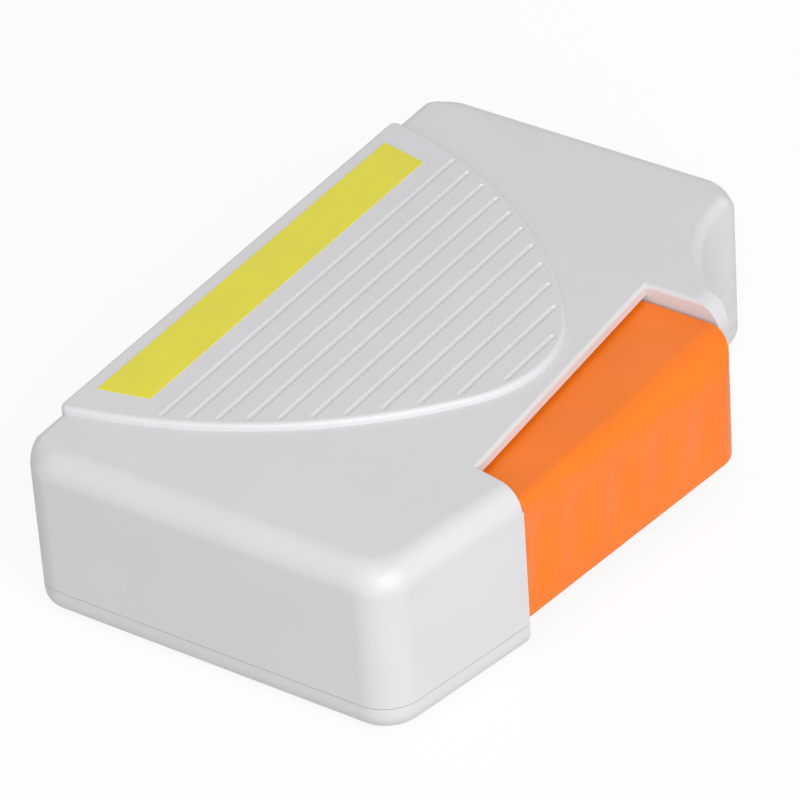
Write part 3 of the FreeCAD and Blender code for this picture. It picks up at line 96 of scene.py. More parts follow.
class CleaningBoxSizes(bpy.types.PropertyGroup):
    """Sizes of the pieces that are made here."""

    top_height: length("Cover height", "Height of the cover's flat top round the panel", 30.75 * MM)
    near_wall: length(
        "Near wall", "Distance of the flared wall from the middle line at the near end", 29.3 * MM)
    far_wall: length(
        "Far wall", "Distance of the lever-side wall from the middle line at the far end", 20.7 * MM)
    flare: bpy.props.FloatProperty(name="Flare", default=math.radians(10.7), subtype="ANGLE", unit="ROTATION",
                                   description="Angle of the flared wall to the case's long axis")
    label_corner: length(
        "Label corner", "Radius of the case's two upright corners on the label side", 5.4 * MM)
    near_corner: length(
        "Near corner", "Radius of the case's upright corner at the near end, lever side", 7.2 * MM)
    far_corner: length(
        "Far corner", "Radius of the case's upright corner at the far end, lever side", 6.2 * MM)
    end_rounding: length("End rounding", "Radius of the cover's top edge at both ends", 4.6 * MM)
    wall_rounding: length("Wall rounding", "Radius of the cover's top edge along the flared wall", 4.2 * MM)
    side_rounding: length("Side rounding", "Radius of the cover's top edge along the label side", 2.0 * MM)
    far_rounding: length("Far rounding", "Radius of the cover's top edge at the far corner", 5.2 * MM)
    lever_top: length("Lever height", "Height of the lever's flat top", 27.9 * MM)
    edge_start: length("Lever edge start", "Radius of the lever's front top edge at its near end", 1.4 * MM)
    edge_growth: bpy.props.FloatProperty(name="Lever edge growth", default=0.0907, min=0.0,
                                         description="Growth of that radius for each metre along the lever")
    flute_pitch: length("Flute pitch", "Distance between two finger flutes", 10.21 * MM)
    flute_first: length(
        "First flute", "Distance of the first finger flute from the lever's near corner", 3.52 * MM)
    flute_reach: length("Flute reach", "Distance from a flute's middle to where it has faded out", 4.6 * MM)
    flute_depth: length("Flute depth", "Depth of the finger flutes", 0.45 * MM)
    wire_radius: length("Spring wire", "Radius of the return spring's round wire", 0.4 * MM)
    coil_radius: length(
        "Spring coil", "Radius of the return spring's coil, at the middle of the wire", 3.2 * MM)
    coil_turns: bpy.props.FloatProperty(name="Spring turns", default=8.0, min=3.0,
                                        description="Turns of the return spring, closed end turns included")
    spring_keep: share(
        "Spring pressed", "Share of the spring's length left when the lever is pressed home", 0.763)
    head_radius: length("Screw head", "Radius of the case screws' heads", 2.7 * MM)
    core_radius: length("Screw core", "Radius of the case screws between their threads", 1.15 * MM)
    crest_radius: length("Screw thread", "Radius of the case screws over their threads", 1.4 * MM)
    thread_pitch: length("Thread pitch", "Distance between two thread crests", 1.2 * MM)
    recess_depth: length("Cross recess", "Depth of the cross recess in a screw head", 1.0 * MM)
    recess_arm: length("Cross arm", "Reach of the cross recess from the screw's axis", 1.45 * MM)
    recess_width: length("Cross width", "Half width of an arm of the cross recess", 0.36 * MM)
    grain: length("Moulded grain", "Size of the fine grain on the moulded plastic", 0.35 * MM)


class CleaningBoxColours(bpy.types.PropertyGroup):
    """Colours of the finishes."""

    shell: colour("Case", "White plastic of both shells", (0.71, 0.705, 0.722))
    lever: colour("Lever", "Orange plastic of the squeeze lever", (0.97, 0.205, 0.008))
    label: colour("Label", "Yellow of the bare label", (0.81, 0.74, 0.04))
    steel: colour("Bright steel", "Screws and pivot pin", (0.58, 0.58, 0.6))
    spring: colour("Spring steel", "Return spring and brake strips", (0.42, 0.42, 0.44))
    acetal: colour("Natural acetal", "Gear, ratchet disc, link and rollers", (0.8, 0.78, 0.7))
    reel: colour("Reel", "Black plastic of the reels and the pad holder", (0.022, 0.022, 0.026))
    tape: colour("Tape", "Woven cleaning tape", (0.3, 0.47, 0.7))
    rubber: colour("Pad", "Rubber of the pads behind the slots", (0.03, 0.03, 0.033))
    shutter: colour("Shutter", "Grey plastic of the sliding shutter", (0.13, 0.135, 0.145))


class CleaningBoxStage(bpy.types.PropertyGroup):
    """Light and camera of the studio."""

    sky: bpy.props.FloatProperty(name="Sky", description="Strength of the even light from all sides",
                                 default=0.53, min=0.0)
    key_power: bpy.props.FloatProperty(name="Key lamp", default=12.0, min=0.0, unit="POWER",
                                       description="Power of the large lamp on the lever side")
    key_size: length("Key lamp size", "Side of the square key lamp", 1.1)
    floor_size: length("Floor size", "Side of the square floor", 6.0)
    floor_bounce: share("Floor bounce", "Share of the light that the floor throws back on the object", 0.5)
    floor_glow: share("Floor white", "Share of plain white in the floor as the camera sees it", 0.88)
    lens: bpy.props.FloatProperty(name="Lens", description="Focal length for a sensor 36 mm wide",
                                  default=254.337, min=1.0, unit="CAMERA")


def sizes():
    """The present sizes."""
    return bpy.context.scene.cleaning_box_sizes


def colours():
    """The present colours."""
    return bpy.context.scene.cleaning_box_colours


def stage_values():
    """The present light and camera values."""
    return bpy.context.scene.cleaning_box_stage


class Finish:
    """A node material under construction."""

    def __init__(self, name):
        self.material = bpy.data.materials.new(name)
        self.material.use_nodes = True
        self.tree = self.material.node_tree
        self.shader = self.tree.nodes["Principled BSDF"]
        self.place = self.add("ShaderNodeTexCoord").outputs["Object"]

    def add(self, kind, inputs=None, **settings):
        """A node with its settings, and its inputs set or linked."""
        node = self.tree.nodes.new(kind)
        for key, value in settings.items():
            setattr(node, key, value)
        for key, value in (inputs or {}).items():
            if isinstance(value, bpy.types.NodeSocket):
                self.tree.links.new(value, node.inputs[key])
            else:
                node.inputs[key].default_value = value
        return node

    def noise(self, size, detail=2.0):
        """Even noise, about 0 to 1, with features of a size in metres."""
        inputs = {"Vector": self.place, "Scale": 1.0 / size, "Detail": detail}
        return self.add("ShaderNodeTexNoise", inputs).outputs["Fac"]

    def span(self, value, low, high, start=0.3, end=0.7):
        """A value from start to end carried to low to high."""
        node = self.add("ShaderNodeMapRange", {"Value": value, "From Min": start, "From Max": end,
                                               "To Min": low, "To Max": high})
        return node.outputs["Result"]

    def maths(self, operation, first, second=0.0):
        """Two values joined by a sum, product or other operation."""
        return self.add("ShaderNodeMath", {0: first, 1: second}, operation=operation).outputs[0]

    def shades(self, value, dark, light):
        """Colour between a dark and a light one by a value from 0 to 1."""
        node = self.add("ShaderNodeMix", {"Factor": value}, data_type="RGBA")
        first, second = (socket for socket in node.inputs if socket.type == "RGBA")
        first.default_value, second.default_value = (*dark, 1.0), (*light, 1.0)
        return next(socket for socket in node.outputs if socket.type == "RGBA")

    def set(self, **inputs):
        """Sets or links sockets of the main shader."""
        for key, value in inputs.items():
            socket = self.shader.inputs[key.replace("_", " ")]
            if isinstance(value, bpy.types.NodeSocket):
                self.tree.links.new(value, socket)
            else:
                socket.default_value = value

    def relief(self, height, depth, strength=1.0):
        """Fine relief of a depth in metres."""
        node = self.add("ShaderNodeBump", {"Height": height, "Distance": depth, "Strength": strength})
        self.tree.links.new(node.outputs["Normal"], self.shader.inputs["Normal"])


def tint(base, factor):
    """A colour made darker or lighter by a factor."""
    return tuple(min(1.0, channel * factor) for channel in base)


def moulded(name, base, rough, variation=0.02, relief_depth=12e-6):
    """Moulded plastic: faint flow mottling, fine spark-eroded grain, satin gloss that varies a little."""
    finish = Finish(name)
    grain = finish.noise(sizes().grain, 3.0)
    mottle = finish.noise(14 * MM, 2.0)
    both = finish.maths("ADD", finish.maths("MULTIPLY", mottle, 0.8), finish.maths("MULTIPLY", grain, 0.2))
    shade = finish.span(both, 0.0, 1.0, 0.35, 0.65)
    finish.set(Base_Color=finish.shades(shade, tint(base, 1.0 - variation), tint(base, 1.0 + variation)))
    finish.set(Roughness=finish.span(finish.noise(6 * MM, 3.0), rough - 0.05, rough + 0.05))
    finish.relief(grain, relief_depth, 0.5)
    return finish


def metal(name, base, rough, streak):
    """Drawn or turned metal: fine streaks along one axis in colour, gloss and relief."""
    finish = Finish(name)
    scale = [1.0 / (0.12 * MM)] * 3
    scale[streak] = 1.0 / (4 * MM)
    stretched = finish.add("ShaderNodeMapping", {"Vector": finish.place, "Scale": scale}).outputs["Vector"]
    inputs = {"Vector": stretched, "Scale": 1.0, "Detail": 3.0}
    lines = finish.add("ShaderNodeTexNoise", inputs).outputs["Fac"]
    finish.set(Base_Color=finish.shades(finish.span(lines, 0.0, 1.0), tint(base, 0.86), tint(base, 1.1)))
    finish.set(Metallic=1.0, Roughness=finish.span(lines, rough - 0.07, rough + 0.09))
    finish.relief(lines, 4e-6, 0.4)
    return finish


def label_film(name, base):
    """Coated label: paper fibres under a satin film, with slightly uneven ink."""
    finish = Finish(name)
    fibres = finish.noise(0.5 * MM, 5.0)
    ink = finish.noise(9 * MM, 2.0)
    both = finish.maths("ADD", finish.maths("MULTIPLY", fibres, 0.45), finish.maths("MULTIPLY", ink, 0.55))
    shade = finish.span(both, 0.0, 1.0, 0.35, 0.65)
    finish.set(Base_Color=finish.shades(shade, tint(base, 0.95), tint(base, 1.04)))
    finish.set(Roughness=finish.span(ink, 0.38, 0.5))
    finish.relief(fibres, 8e-6, 0.4)
    return finish


def woven(name, base, wound_on=None):
    """Woven microfibre tape: plain weave of 0.25 mm; on a roll the windings show as rings round its axis."""
    finish = Finish(name)
    axes = finish.add("ShaderNodeSeparateXYZ", {"Vector": finish.place}).outputs
    thread, winding = 0.25 * MM, 0.3 * MM
    turns = 2.0 * math.pi / thread
    across = finish.maths("SINE", finish.maths("MULTIPLY", axes["Z"], turns))
    if wound_on:
        middle = [0.5 * (low + high) for low, high in zip(*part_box(wound_on))]
        inputs = {"Vector": finish.place, "Location": (-middle[0], -middle[1], 0.0)}
        moved = finish.add("ShaderNodeMapping", inputs)
        flat = finish.add("ShaderNodeVectorMath", {0: moved.outputs["Vector"], 1: (1.0, 1.0, 0.0)},
                          operation="MULTIPLY").outputs["Vector"]
        radius = finish.add("ShaderNodeVectorMath", {0: flat}, operation="LENGTH").outputs["Value"]
        along = finish.maths("SINE", finish.maths("MULTIPLY", radius, 2.0 * math.pi / winding))
    else:
        run = finish.maths("ADD", axes["X"], axes["Y"])
        along = finish.maths("SINE", finish.maths("MULTIPLY", run, turns))
    weave = finish.span(finish.maths("MULTIPLY", across, along), 0.0, 1.0, -1.0, 1.0)
    if wound_on:
        rings = finish.span(along, 0.0, 0.6, -1.0, 1.0)
        weave = finish.maths("ADD", finish.maths("MULTIPLY", weave, 0.4), rings)
    wear = finish.maths("MULTIPLY", finish.noise(3 * MM), 0.3)
    worn = finish.span(finish.maths("ADD", finish.maths("MULTIPLY", weave, 0.7), wear), 0.0, 1.0, 0.1, 0.9)
    finish.set(Base_Color=finish.shades(worn, tint(base, 0.72), tint(base, 1.15)))
    finish.set(Roughness=finish.span(weave, 0.75, 0.95, 0.0, 1.0), Sheen_Weight=0.3, Sheen_Roughness=0.4)
    finish.relief(weave, 40e-6, 0.6)
    return finish


def rubber_skin(name, base):
    """Soft rubber: fine pores and a dull surface."""
    finish = Finish(name)
    pores = finish.noise(0.25 * MM, 4.0)
    finish.set(Base_Color=finish.shades(finish.span(pores, 0.0, 1.0), tint(base, 0.75), tint(base, 1.3)))
    finish.set(Roughness=finish.span(finish.noise(2 * MM), 0.7, 0.85))
    finish.relief(pores, 15e-6, 0.5)
    return finish


def dress(nodes, finish):
    """Gives CAD nodes a finish."""
    for name in nodes:
        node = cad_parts[name]
        node.data.materials.clear()
        node.data.materials.append(finish.material)


def surface(name, points, finish):
    """Smooth mesh from a grid of points, rows by columns, whose columns close into a ring.

    The first and the last row are each drawn together into one point, which closes the ends.
    """
    rows, columns = points.shape[:2]
    index = np.arange(rows * columns).reshape(rows, columns)
    beside = np.roll(index, -1, axis=1)
    quads = np.stack([index[:-1], beside[:-1], beside[1:], index[1:]], axis=-1).reshape(-1, 4)
    first, last = np.full(columns, rows * columns), np.full(columns, rows * columns + 1)
    caps = [np.stack([beside[0], index[0], first], axis=-1), np.stack([index[-1], beside[-1], last], axis=-1)]
    faces = quads.tolist() + np.concatenate(caps).tolist()
    verts = np.concatenate([points.reshape(-1, 3), [points[0].mean(0), points[-1].mean(0)]])
    mesh = bpy.data.meshes.new(name)
    mesh.from_pydata(verts.tolist(), [], faces)
    mesh.polygons.foreach_set("use_smooth", np.ones(len(mesh.polygons), bool))
    mesh.materials.append(finish.material)
    mesh.update()
    piece = bpy.data.objects.new(name, mesh)
    bpy.context.scene.collection.objects.link(piece)
    return piece


def smooth_step(low, high, value):
    """0 below low, 1 above high, and a smooth S curve between."""
    t = np.clip((value - low) / (high - low), 0.0, 1.0)
    return t * t * (3.0 - 2.0 * t)


def screw_points(x, y, head_z, seat_z, tip_z):
    """Screw standing on its head: radius and height along its outline, carried once round the axis.

    The outline runs from the axis over the head's face, up its rounded rim, in to the shank and up to the
    tip. On the face the height dips where |u| < width and |v| < arm, or the same with u and v exchanged,
    which is the cross recess. On the shank the radius is the core's plus a ridge that rises one pitch a turn.
    """
    size = sizes()
    face_rings, rim_rings, shank_rings, sides = 34, 9, 150, 72
    shank_start = face_rings + rim_rings + 2
    flat_share = 0.84
    face = np.linspace(0.02, flat_share, face_rings) * size.head_radius
    bend = np.linspace(0.0, 0.5 * math.pi, rim_rings)
    rounding = (1.0 - flat_share) * size.head_radius
    rim_r = flat_share * size.head_radius + rounding * np.sin(bend)
    rim_z = head_z + rounding * (1.0 - np.cos(bend))
    shank_r = np.full(shank_rings, size.core_radius)
    shank_z = np.linspace(seat_z, tip_z, shank_rings)
    outline_r = np.concatenate([face, rim_r, [size.head_radius, size.crest_radius], shank_r])
    outline_z = np.concatenate([np.full(face_rings, head_z), rim_z, [seat_z, seat_z], shank_z])
    turn = np.linspace(0.0, 2.0 * math.pi, sides, endpoint=False)
    radius, angle = np.meshgrid(outline_r, turn, indexing="ij")
    height = np.repeat(outline_z[:, None], sides, axis=1)
    phase = (height - seat_z) / size.thread_pitch - angle / (2.0 * math.pi)
    flank, run_in, point_length, blunt = 3.2, 0.8 * MM, 2.2 * MM, 0.05
    ridge = np.clip(1.0 - flank * np.abs(phase - np.floor(phase) - 0.5), 0.0, 1.0)
    on_shank = np.zeros_like(radius)
    on_shank[shank_start:] = smooth_step(seat_z, seat_z + run_in, height[shank_start:])
    point = np.clip((tip_z - height) / point_length, 0.0, 1.0)
    taper = np.where(on_shank > 0.0, blunt + (1.0 - blunt) * np.sqrt(point), 1.0)
    radius = (radius + on_shank * ridge * (size.crest_radius - size.core_radius)) * taper
    u, v = radius * np.cos(angle), radius * np.sin(angle)
    half, reach, edge = size.recess_width, size.recess_arm, 0.14 * MM
    arms = np.maximum(
        smooth_step(-half - edge, -half, -np.abs(u)) * smooth_step(-reach - edge, -reach, -np.abs(v)),
        smooth_step(-half - edge, -half, -np.abs(v)) * smooth_step(-reach - edge, -reach, -np.abs(u)))
    bowl = 0.55 + 0.45 * np.clip(1.0 - np.hypot(u, v) / reach, 0.0, 1.0)
    on_face = np.zeros_like(radius)
    on_face[:face_rings] = 1.0
    height = height + on_face * arms * bowl * size.recess_depth
    return np.stack([x + u, y + v, height], axis=-1)


def spring_points(x, z, start_y, end_y):
    """Coil spring along -Y: a circle of the wire's radius carried along a helix with two closed end turns.

    Along the helix the angle grows evenly, and y by an eased share that starts and ends with one wire
    thickness a turn, so that the end turns lie closed.
    """
    size = sizes()
    turns = size.coil_turns
    steps_a_turn, sides = 40, 14
    angle = np.linspace(0.0, 2.0 * math.pi * turns, int(steps_a_turn * turns) + 1)
    done = angle / (2.0 * math.pi)
    closed = 2.1 * size.wire_radius
    middle = abs(end_y - start_y) - 2.0 * closed
    along_middle = np.clip((done - 1.0) / (turns - 2.0), 0.0, 1.0)
    eased = along_middle - 0.06 * np.sin(2.0 * math.pi * along_middle)
    end_turns = np.clip(done, 0.0, 1.0) + np.clip(done - turns + 1.0, 0.0, 1.0)
    travel = closed * end_turns + middle * eased
    coil = size.coil_radius
    path = np.stack([x + coil * np.cos(angle), start_y - travel, z + coil * np.sin(angle)], axis=-1)
    out = np.stack([np.cos(angle), np.zeros_like(angle), np.sin(angle)], axis=-1)
    along = np.gradient(path, axis=0)
    along /= np.linalg.norm(along, axis=1, keepdims=True)
    side = np.cross(along, out)
    side /= np.linalg.norm(side, axis=1, keepdims=True)
    out = np.cross(side, along)
    ring = np.linspace(0.0, 2.0 * math.pi, sides, endpoint=False)
    return path[:, None, :] + size.wire_radius * (np.cos(ring)[None, :, None] * out[:, None, :]
                                                  + np.sin(ring)[None, :, None] * side[:, None, :])


def welded_copy(node, in_band, longest, rounds):
    """Points and faces of a CAD node with its corners joined, and long edges in a band halved in rounds."""
    form = bmesh.new()
    form.from_mesh(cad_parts[node].data)
    same_place, tests = 1e-7, 9
    bmesh.ops.remove_doubles(form, verts=form.verts, dist=same_place)
    steps = np.linspace(0.0, 1.0, tests)[:, None, None]
    for _ in range(rounds):
        form.edges.ensure_lookup_table()
        ends = np.array([[vertex.co for vertex in edge.verts] for edge in form.edges])
        span = ends[:, 1] - ends[:, 0]
        touching = in_band((ends[:, 0] + steps * span).reshape(-1, 3)).reshape(tests, -1).any(axis=0)
        chosen = np.flatnonzero(touching & (np.linalg.norm(span, axis=1) > longest))
        if not len(chosen):
            break
        bmesh.ops.subdivide_edges(form, edges=[form.edges[i] for i in chosen], cuts=1)
        bmesh.ops.triangulate(form, faces=[face for face in form.faces if len(face.verts) > 3])
    form.verts.index_update()
    points = np.array([vertex.co for vertex in form.verts])
    faces = [[vertex.index for vertex in face.verts] for face in form.faces]
    form.free()
    return points, faces


def moulding(name, points, faces, finish):
    """Piece with soft shading over its roundings and firm edges elsewhere."""
    firm_from = math.radians(32.0)
    mesh = bpy.data.meshes.new(name)
    mesh.from_pydata(points.tolist(), [], faces)
    mesh.polygons.foreach_set("use_smooth", np.ones(len(mesh.polygons), bool))
    mesh.set_sharp_from_angle(angle=firm_from)
    mesh.materials.append(finish.material)
    mesh.update()
    piece = bpy.data.objects.new(name, mesh)
    bpy.context.scene.collection.objects.link(piece)
    shading = piece.modifiers.new("even_shading", "WEIGHTED_NORMAL")
    shading.keep_sharp = True
    return piece


def rim_runs():
    """Straight runs of the cover's rim as start, end and rounding, with the inside on their left."""
    size = sizes()
    low, high = CAD_BOX
    wall = np.array([math.cos(size.flare), -math.sin(size.flare)])
    near_corner, _ = near_corner_centre()
    bend = near_corner + size.near_corner * np.array([-math.sin(size.flare), -math.cos(size.flare)])
    label_y = high[1] - size.label_corner
    far_y = size.far_corner - size.far_wall
    past_notch = 30 * MM
    return [
        (np.array([low[0], label_y]), np.array([low[0], near_corner[1]]), size.end_rounding),
        (bend, bend + past_notch * wall, size.wall_rounding),
        (np.array([high[0], far_y]), np.array([high[0], label_y]), size.end_rounding),
    ]


def near_corner_centre():
    """Middle of the near upright corner on the lever side, and the angle of the flared wall's outer side."""
    size = sizes()
    x = CAD_BOX[0][0] + size.near_corner
    y = -size.near_wall - size.near_corner * math.tan(size.flare) + size.near_corner / math.cos(size.flare)
    return np.array([x, y]), 1.5 * math.pi - size.flare


def rim_corners():
    """Corners of the cover's rim: middle, radius, first and last angle, and roundings at both and between."""
    size = sizes()
    low, high = CAD_BOX
    label_y = high[1] - size.label_corner
    side, end, wall, far = size.side_rounding, size.end_rounding, size.wall_rounding, size.far_rounding
    near_centre, wall_angle = near_corner_centre()
    far_centre = np.array([high[0] - size.far_corner, size.far_corner - size.far_wall])
    near_label = np.array([low[0] + size.label_corner, label_y])
    far_label = np.array([high[0] - size.label_corner, label_y])
    quarter = 0.5 * math.pi
    return [
        (near_label, size.label_corner, quarter, 2.0 * quarter, (side, end, end)),
        (near_centre, size.near_corner, 2.0 * quarter, wall_angle, (end, end, wall)),
        (far_centre, size.far_corner, 3.0 * quarter, 4.0 * quarter, (side, far, end)),
        (far_label, size.label_corner, 0.0, quarter, (end, end, side)),
    ]


def rim(plan):
    """How far each point, seen from above, lies inside the nearest stretch of the cover's rim.

    Gives that distance, the direction straight inwards and the rounding there, which is 0 off the rim. On a
    straight run the distance is taken square to it, and on a corner it is the corner's radius less the
    distance from its middle.
    """
    distance = np.full(len(plan), np.inf)
    inward = np.zeros((len(plan), 2))
    rounding = np.zeros(len(plan))
    for start, end, radius in rim_runs():
        span = np.linalg.norm(end - start)
        along = (end - start) / span
        square = np.array([-along[1], along[0]])
        offset = plan - start
        away = offset @ square
        there = (np.abs(offset @ along - 0.5 * span) <= 0.5 * span) & (np.abs(away) < np.abs(distance))
        distance[there], inward[there], rounding[there] = away[there], square, radius
    for centre, bend, first, last, radii in rim_corners():
        offset = plan - centre
        reach = np.maximum(np.linalg.norm(offset, axis=1), TINY)
        angle = np.mod(np.arctan2(offset[:, 1], offset[:, 0]) - first, 2.0 * math.pi)
        away = bend - reach
        there = (angle <= last - first) & (np.abs(away) < np.abs(distance))
        distance[there], inward[there] = away[there], (-offset / reach[:, None])[there]
        rounding[there] = np.interp(angle[there] / (last - first), (0.0, 0.5, 1.0), radii)
    return distance, inward, rounding


def in_rim_band(points):
    """Whether points lie on the outer faces close to the cover's rim."""
    distance, _, rounding = rim(points[:, :2])
    depth = sizes().top_height - points[:, 2]
    skin, reach, slack = 1.6 * MM, 6.5 * MM, 0.1 * MM
    thin, wide = np.minimum(distance, depth), np.maximum(distance, depth)
    return (rounding > 0.0) & (thin > -slack) & (thin < skin) & (wide < reach)


def rounded_rim(points):
    """Points with the cover's top edge rounded.

    In the plane square to the rim, a point that lies outside the circle that touches both the wall and the
    top is drawn straight towards the circle's middle until it lies on it.
    """
    distance, inward, rounding = rim(points[:, :2])
    depth = sizes().top_height - points[:, 2]
    far_off, slack = 1.0, 0.01 * MM
    across, down = rounding - np.where(np.isfinite(distance), distance, far_off), rounding - depth
    reach = np.maximum(np.hypot(across, down), TINY)
    outside = (across > 0.0) & (down > 0.0) & (reach > rounding) & (depth > -slack)
    pull = np.where(outside, 1.0 - rounding / reach, 0.0)
    moved = points.copy()
    moved[:, :2] += (pull * across)[:, None] * inward
    moved[:, 2] -= pull * down
    return moved


class LeverFront:
    """The lever's front face and the rounding above it, which widens towards the far end."""

    # Near corner of the front seen from above, the front's angle there, and the stretch that is reworked.
    corner = np.array([-29.468 * MM, -34.23 * MM])
    slope = math.atan2(-6.35, 54.768)
    start, end = 0.2 * MM, 49.4 * MM
    foot, top_margin = 6.2 * MM, 0.6 * MM
    # The front face and the solid's flutes lie between these depths, and the inside of the wall deeper.
    shallowest, deepest = -0.1 * MM, 0.7 * MM

    def __init__(self, points):
        size = sizes()
        offset = points[:, :2] - self.corner
        self.along = offset @ np.array([math.cos(self.slope), math.sin(self.slope)])
        self.square = np.array([-math.sin(self.slope), math.cos(self.slope)])
        deep = offset @ self.square
        edge = size.edge_start + size.edge_growth * self.along
        self.bend_z = size.lever_top - edge
        rise = np.maximum(points[:, 2] - self.bend_z, 0.0)
        reach = np.maximum(np.hypot(edge - deep, rise), TINY)
        on_edge = rise > 0.0
        self.depth = np.where(on_edge, edge - reach, deep)
        self.level = np.where(on_edge, (edge - deep) / reach, 1.0)
        self.drop = np.where(on_edge, rise / reach, 0.0)
        inside = (self.along > self.start) & (self.along < self.end)
        height = (points[:, 2] > self.foot) & (points[:, 2] < size.lever_top - self.top_margin)
        skin = (self.depth > self.shallowest) & (self.depth < self.deepest)
        self.near = inside & height & skin & (deep < edge)


def on_lever_front(points):
    """Whether points lie on the fluted part of the lever's front."""
    return LeverFront(points).near


def fluted_front(points):
    """Points with soft finger flutes in the lever's front.

    Along the front the depth is a raised cosine round the middle of each flute, and it fades out towards the
    foot and towards the rounded top edge.
    """
    size = sizes()
    front = LeverFront(points)
    flutes = 5
    number = np.clip(np.round((front.along - size.flute_first) / size.flute_pitch), 0, flutes - 1)
    aside = np.abs(front.along - size.flute_first - number * size.flute_pitch) / size.flute_reach
    wave = 0.5 + 0.5 * np.cos(math.pi * np.minimum(aside, 1.0))
    height = points[:, 2]
    foot, full = 8 * MM, 12.5 * MM
    fading, faded = front.bend_z - 6 * MM, front.bend_z - 0.8 * MM
    fade = smooth_step(foot, full, height) * (1.0 - smooth_step(fading, faded, height))
    shift = np.where(front.near, size.flute_depth * wave * fade - front.depth, 0.0)
    moved = points.copy()
    moved[:, :2] += (shift * front.level)[:, None] * front.square
    moved[:, 2] -= shift * front.drop
    return moved


class CLEANBOX_OT_shells(bpy.types.Operator):
    """Cover with softly rounded rim, and tray, in satin white plastic"""

    bl_idname = "cleanbox.shells"
    bl_label = "Case shells"

    def execute(self, context):
        finish = moulded("shell_white", colours().shell, 0.4, 0.012)
        dress(["lower_shell"], finish)
        points, faces = welded_copy("upper_shell", in_rim_band, longest=1.0 * MM, rounds=5)
        piece = moulding("case_cover", rounded_rim(points), faces, finish)
        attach(piece, "case")
        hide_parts("upper_shell")
        return {"FINISHED"}


class CLEANBOX_OT_lever(bpy.types.Operator):
    """Squeeze lever with soft finger flutes, in orange plastic"""

    bl_idname = "cleanbox.lever"
    bl_label = "Squeeze lever"

    def execute(self, context):
        finish = moulded("lever_orange", colours().lever, 0.4, 0.03)
        finish.set(Specular_IOR_Level=0.35)
        points, faces = welded_copy("lever", on_lever_front, longest=0.8 * MM, rounds=4)
        piece = moulding("squeeze_grip", fluted_front(points), faces, finish)
        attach(piece, "squeeze_lever")
        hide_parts("lever")
        return {"FINISHED"}


class CLEANBOX_OT_label(bpy.types.Operator):
    """Bare yellow label film"""

    bl_idname = "cleanbox.label"
    bl_label = "Label"

    def execute(self, context):
        dress(["label"], label_film("label_yellow", colours().label))
        return {"FINISHED"}


class CLEANBOX_OT_screws(bpy.types.Operator):
    """Four threaded case screws with cross recesses"""

    bl_idname = "cleanbox.screws"
    bl_label = "Case screws"

    def execute(self, context):
        finish = metal("screw_steel", colours().steel, 0.3, 0)
        low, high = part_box("case_screws")
        inset = sizes().head_radius
        head_height = 1.6 * MM
        seat = low.z + head_height
        far_y = -11.5 * MM
        places = {
            "screw_label_near": (low.x + inset, high.y - inset),
            "screw_label_far": (high.x - inset, high.y - inset),
            "screw_lever_near": (low.x + inset, low.y + inset),
            "screw_lever_far": (high.x - inset, far_y),
        }
        for name, (x, y) in places.items():
            piece = surface(name, screw_points(x, y, low.z, seat, high.z), finish)
            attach(piece, "case")
            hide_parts("case_screws")
        return {"FINISHED"}


class CLEANBOX_OT_return_spring(bpy.types.Operator):
    """Round-wire return spring"""

    bl_idname = "cleanbox.return_spring"
    bl_label = "Return spring"

    def execute(self, context):
        low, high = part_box("lever_return_spring")
        wire = sizes().wire_radius
        points = spring_points(0.5 * (low.x + high.x), 0.5 * (low.z + high.z), high.y - wire, low.y + wire)
        piece = surface("return_spring", points, metal("spring_wire", colours().spring, 0.28, 1))
        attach(piece, "case")
        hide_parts("lever_return_spring")
        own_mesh(piece)
        return {"FINISHED"}


class CLEANBOX_OT_tape(bpy.types.Operator):
    """Woven cleaning tape on both rolls and between them"""

    bl_idname = "cleanbox.tape"
    bl_label = "Cleaning tape"

    def execute(self, context):
        for node in ("supply_roll", "takeup_roll"):
            dress([node], woven(f"{node}_weave", colours().tape, wound_on=node))
        dress(["tape_run"], woven("tape_weave", colours().tape))
        return {"FINISHED"}


class CLEANBOX_OT_drive(bpy.types.Operator):
    """Plastics and metals of the gear train, reels, rollers and link"""

    bl_idname = "cleanbox.drive"
    bl_label = "Tape drive"

    def execute(self, context):
        shade = colours()
        acetal = moulded("acetal_natural", shade.acetal, 0.36, 0.03)
        acetal.set(Subsurface_Weight=0.12, Subsurface_Radius=(0.002, 0.0018, 0.0014))
        dress(["drive_gear", "ratchet_disc", "shutter_link"], acetal)
        dress(["supply_guide_roller", "takeup_guide_roller"], acetal)
        dress(["supply_reel", "takeup_reel", "pad_holder"], moulded("reel_black", shade.reel, 0.4, 0.2))
        dress(["lever_pivot_pin"], metal("pin_steel", shade.steel, 0.22, 2))
        dress(["supply_brake_spring", "takeup_brake_spring"], metal("strip_steel", shade.spring, 0.3, 0))
        return {"FINISHED"}


class CLEANBOX_OT_slots(bpy.types.Operator):
    """Shutter and rubber pads behind the cleaning slots"""

    bl_idname = "cleanbox.slots"
    bl_label = "Cleaning slots"

    def execute(self, context):
        dress(["shutter"], moulded("shutter_grey", colours().shutter, 0.45, 0.06))
        dress(["near_pad", "far_pad"], rubber_skin("pad_rubber", colours().rubber))
        return {"FINISHED"}


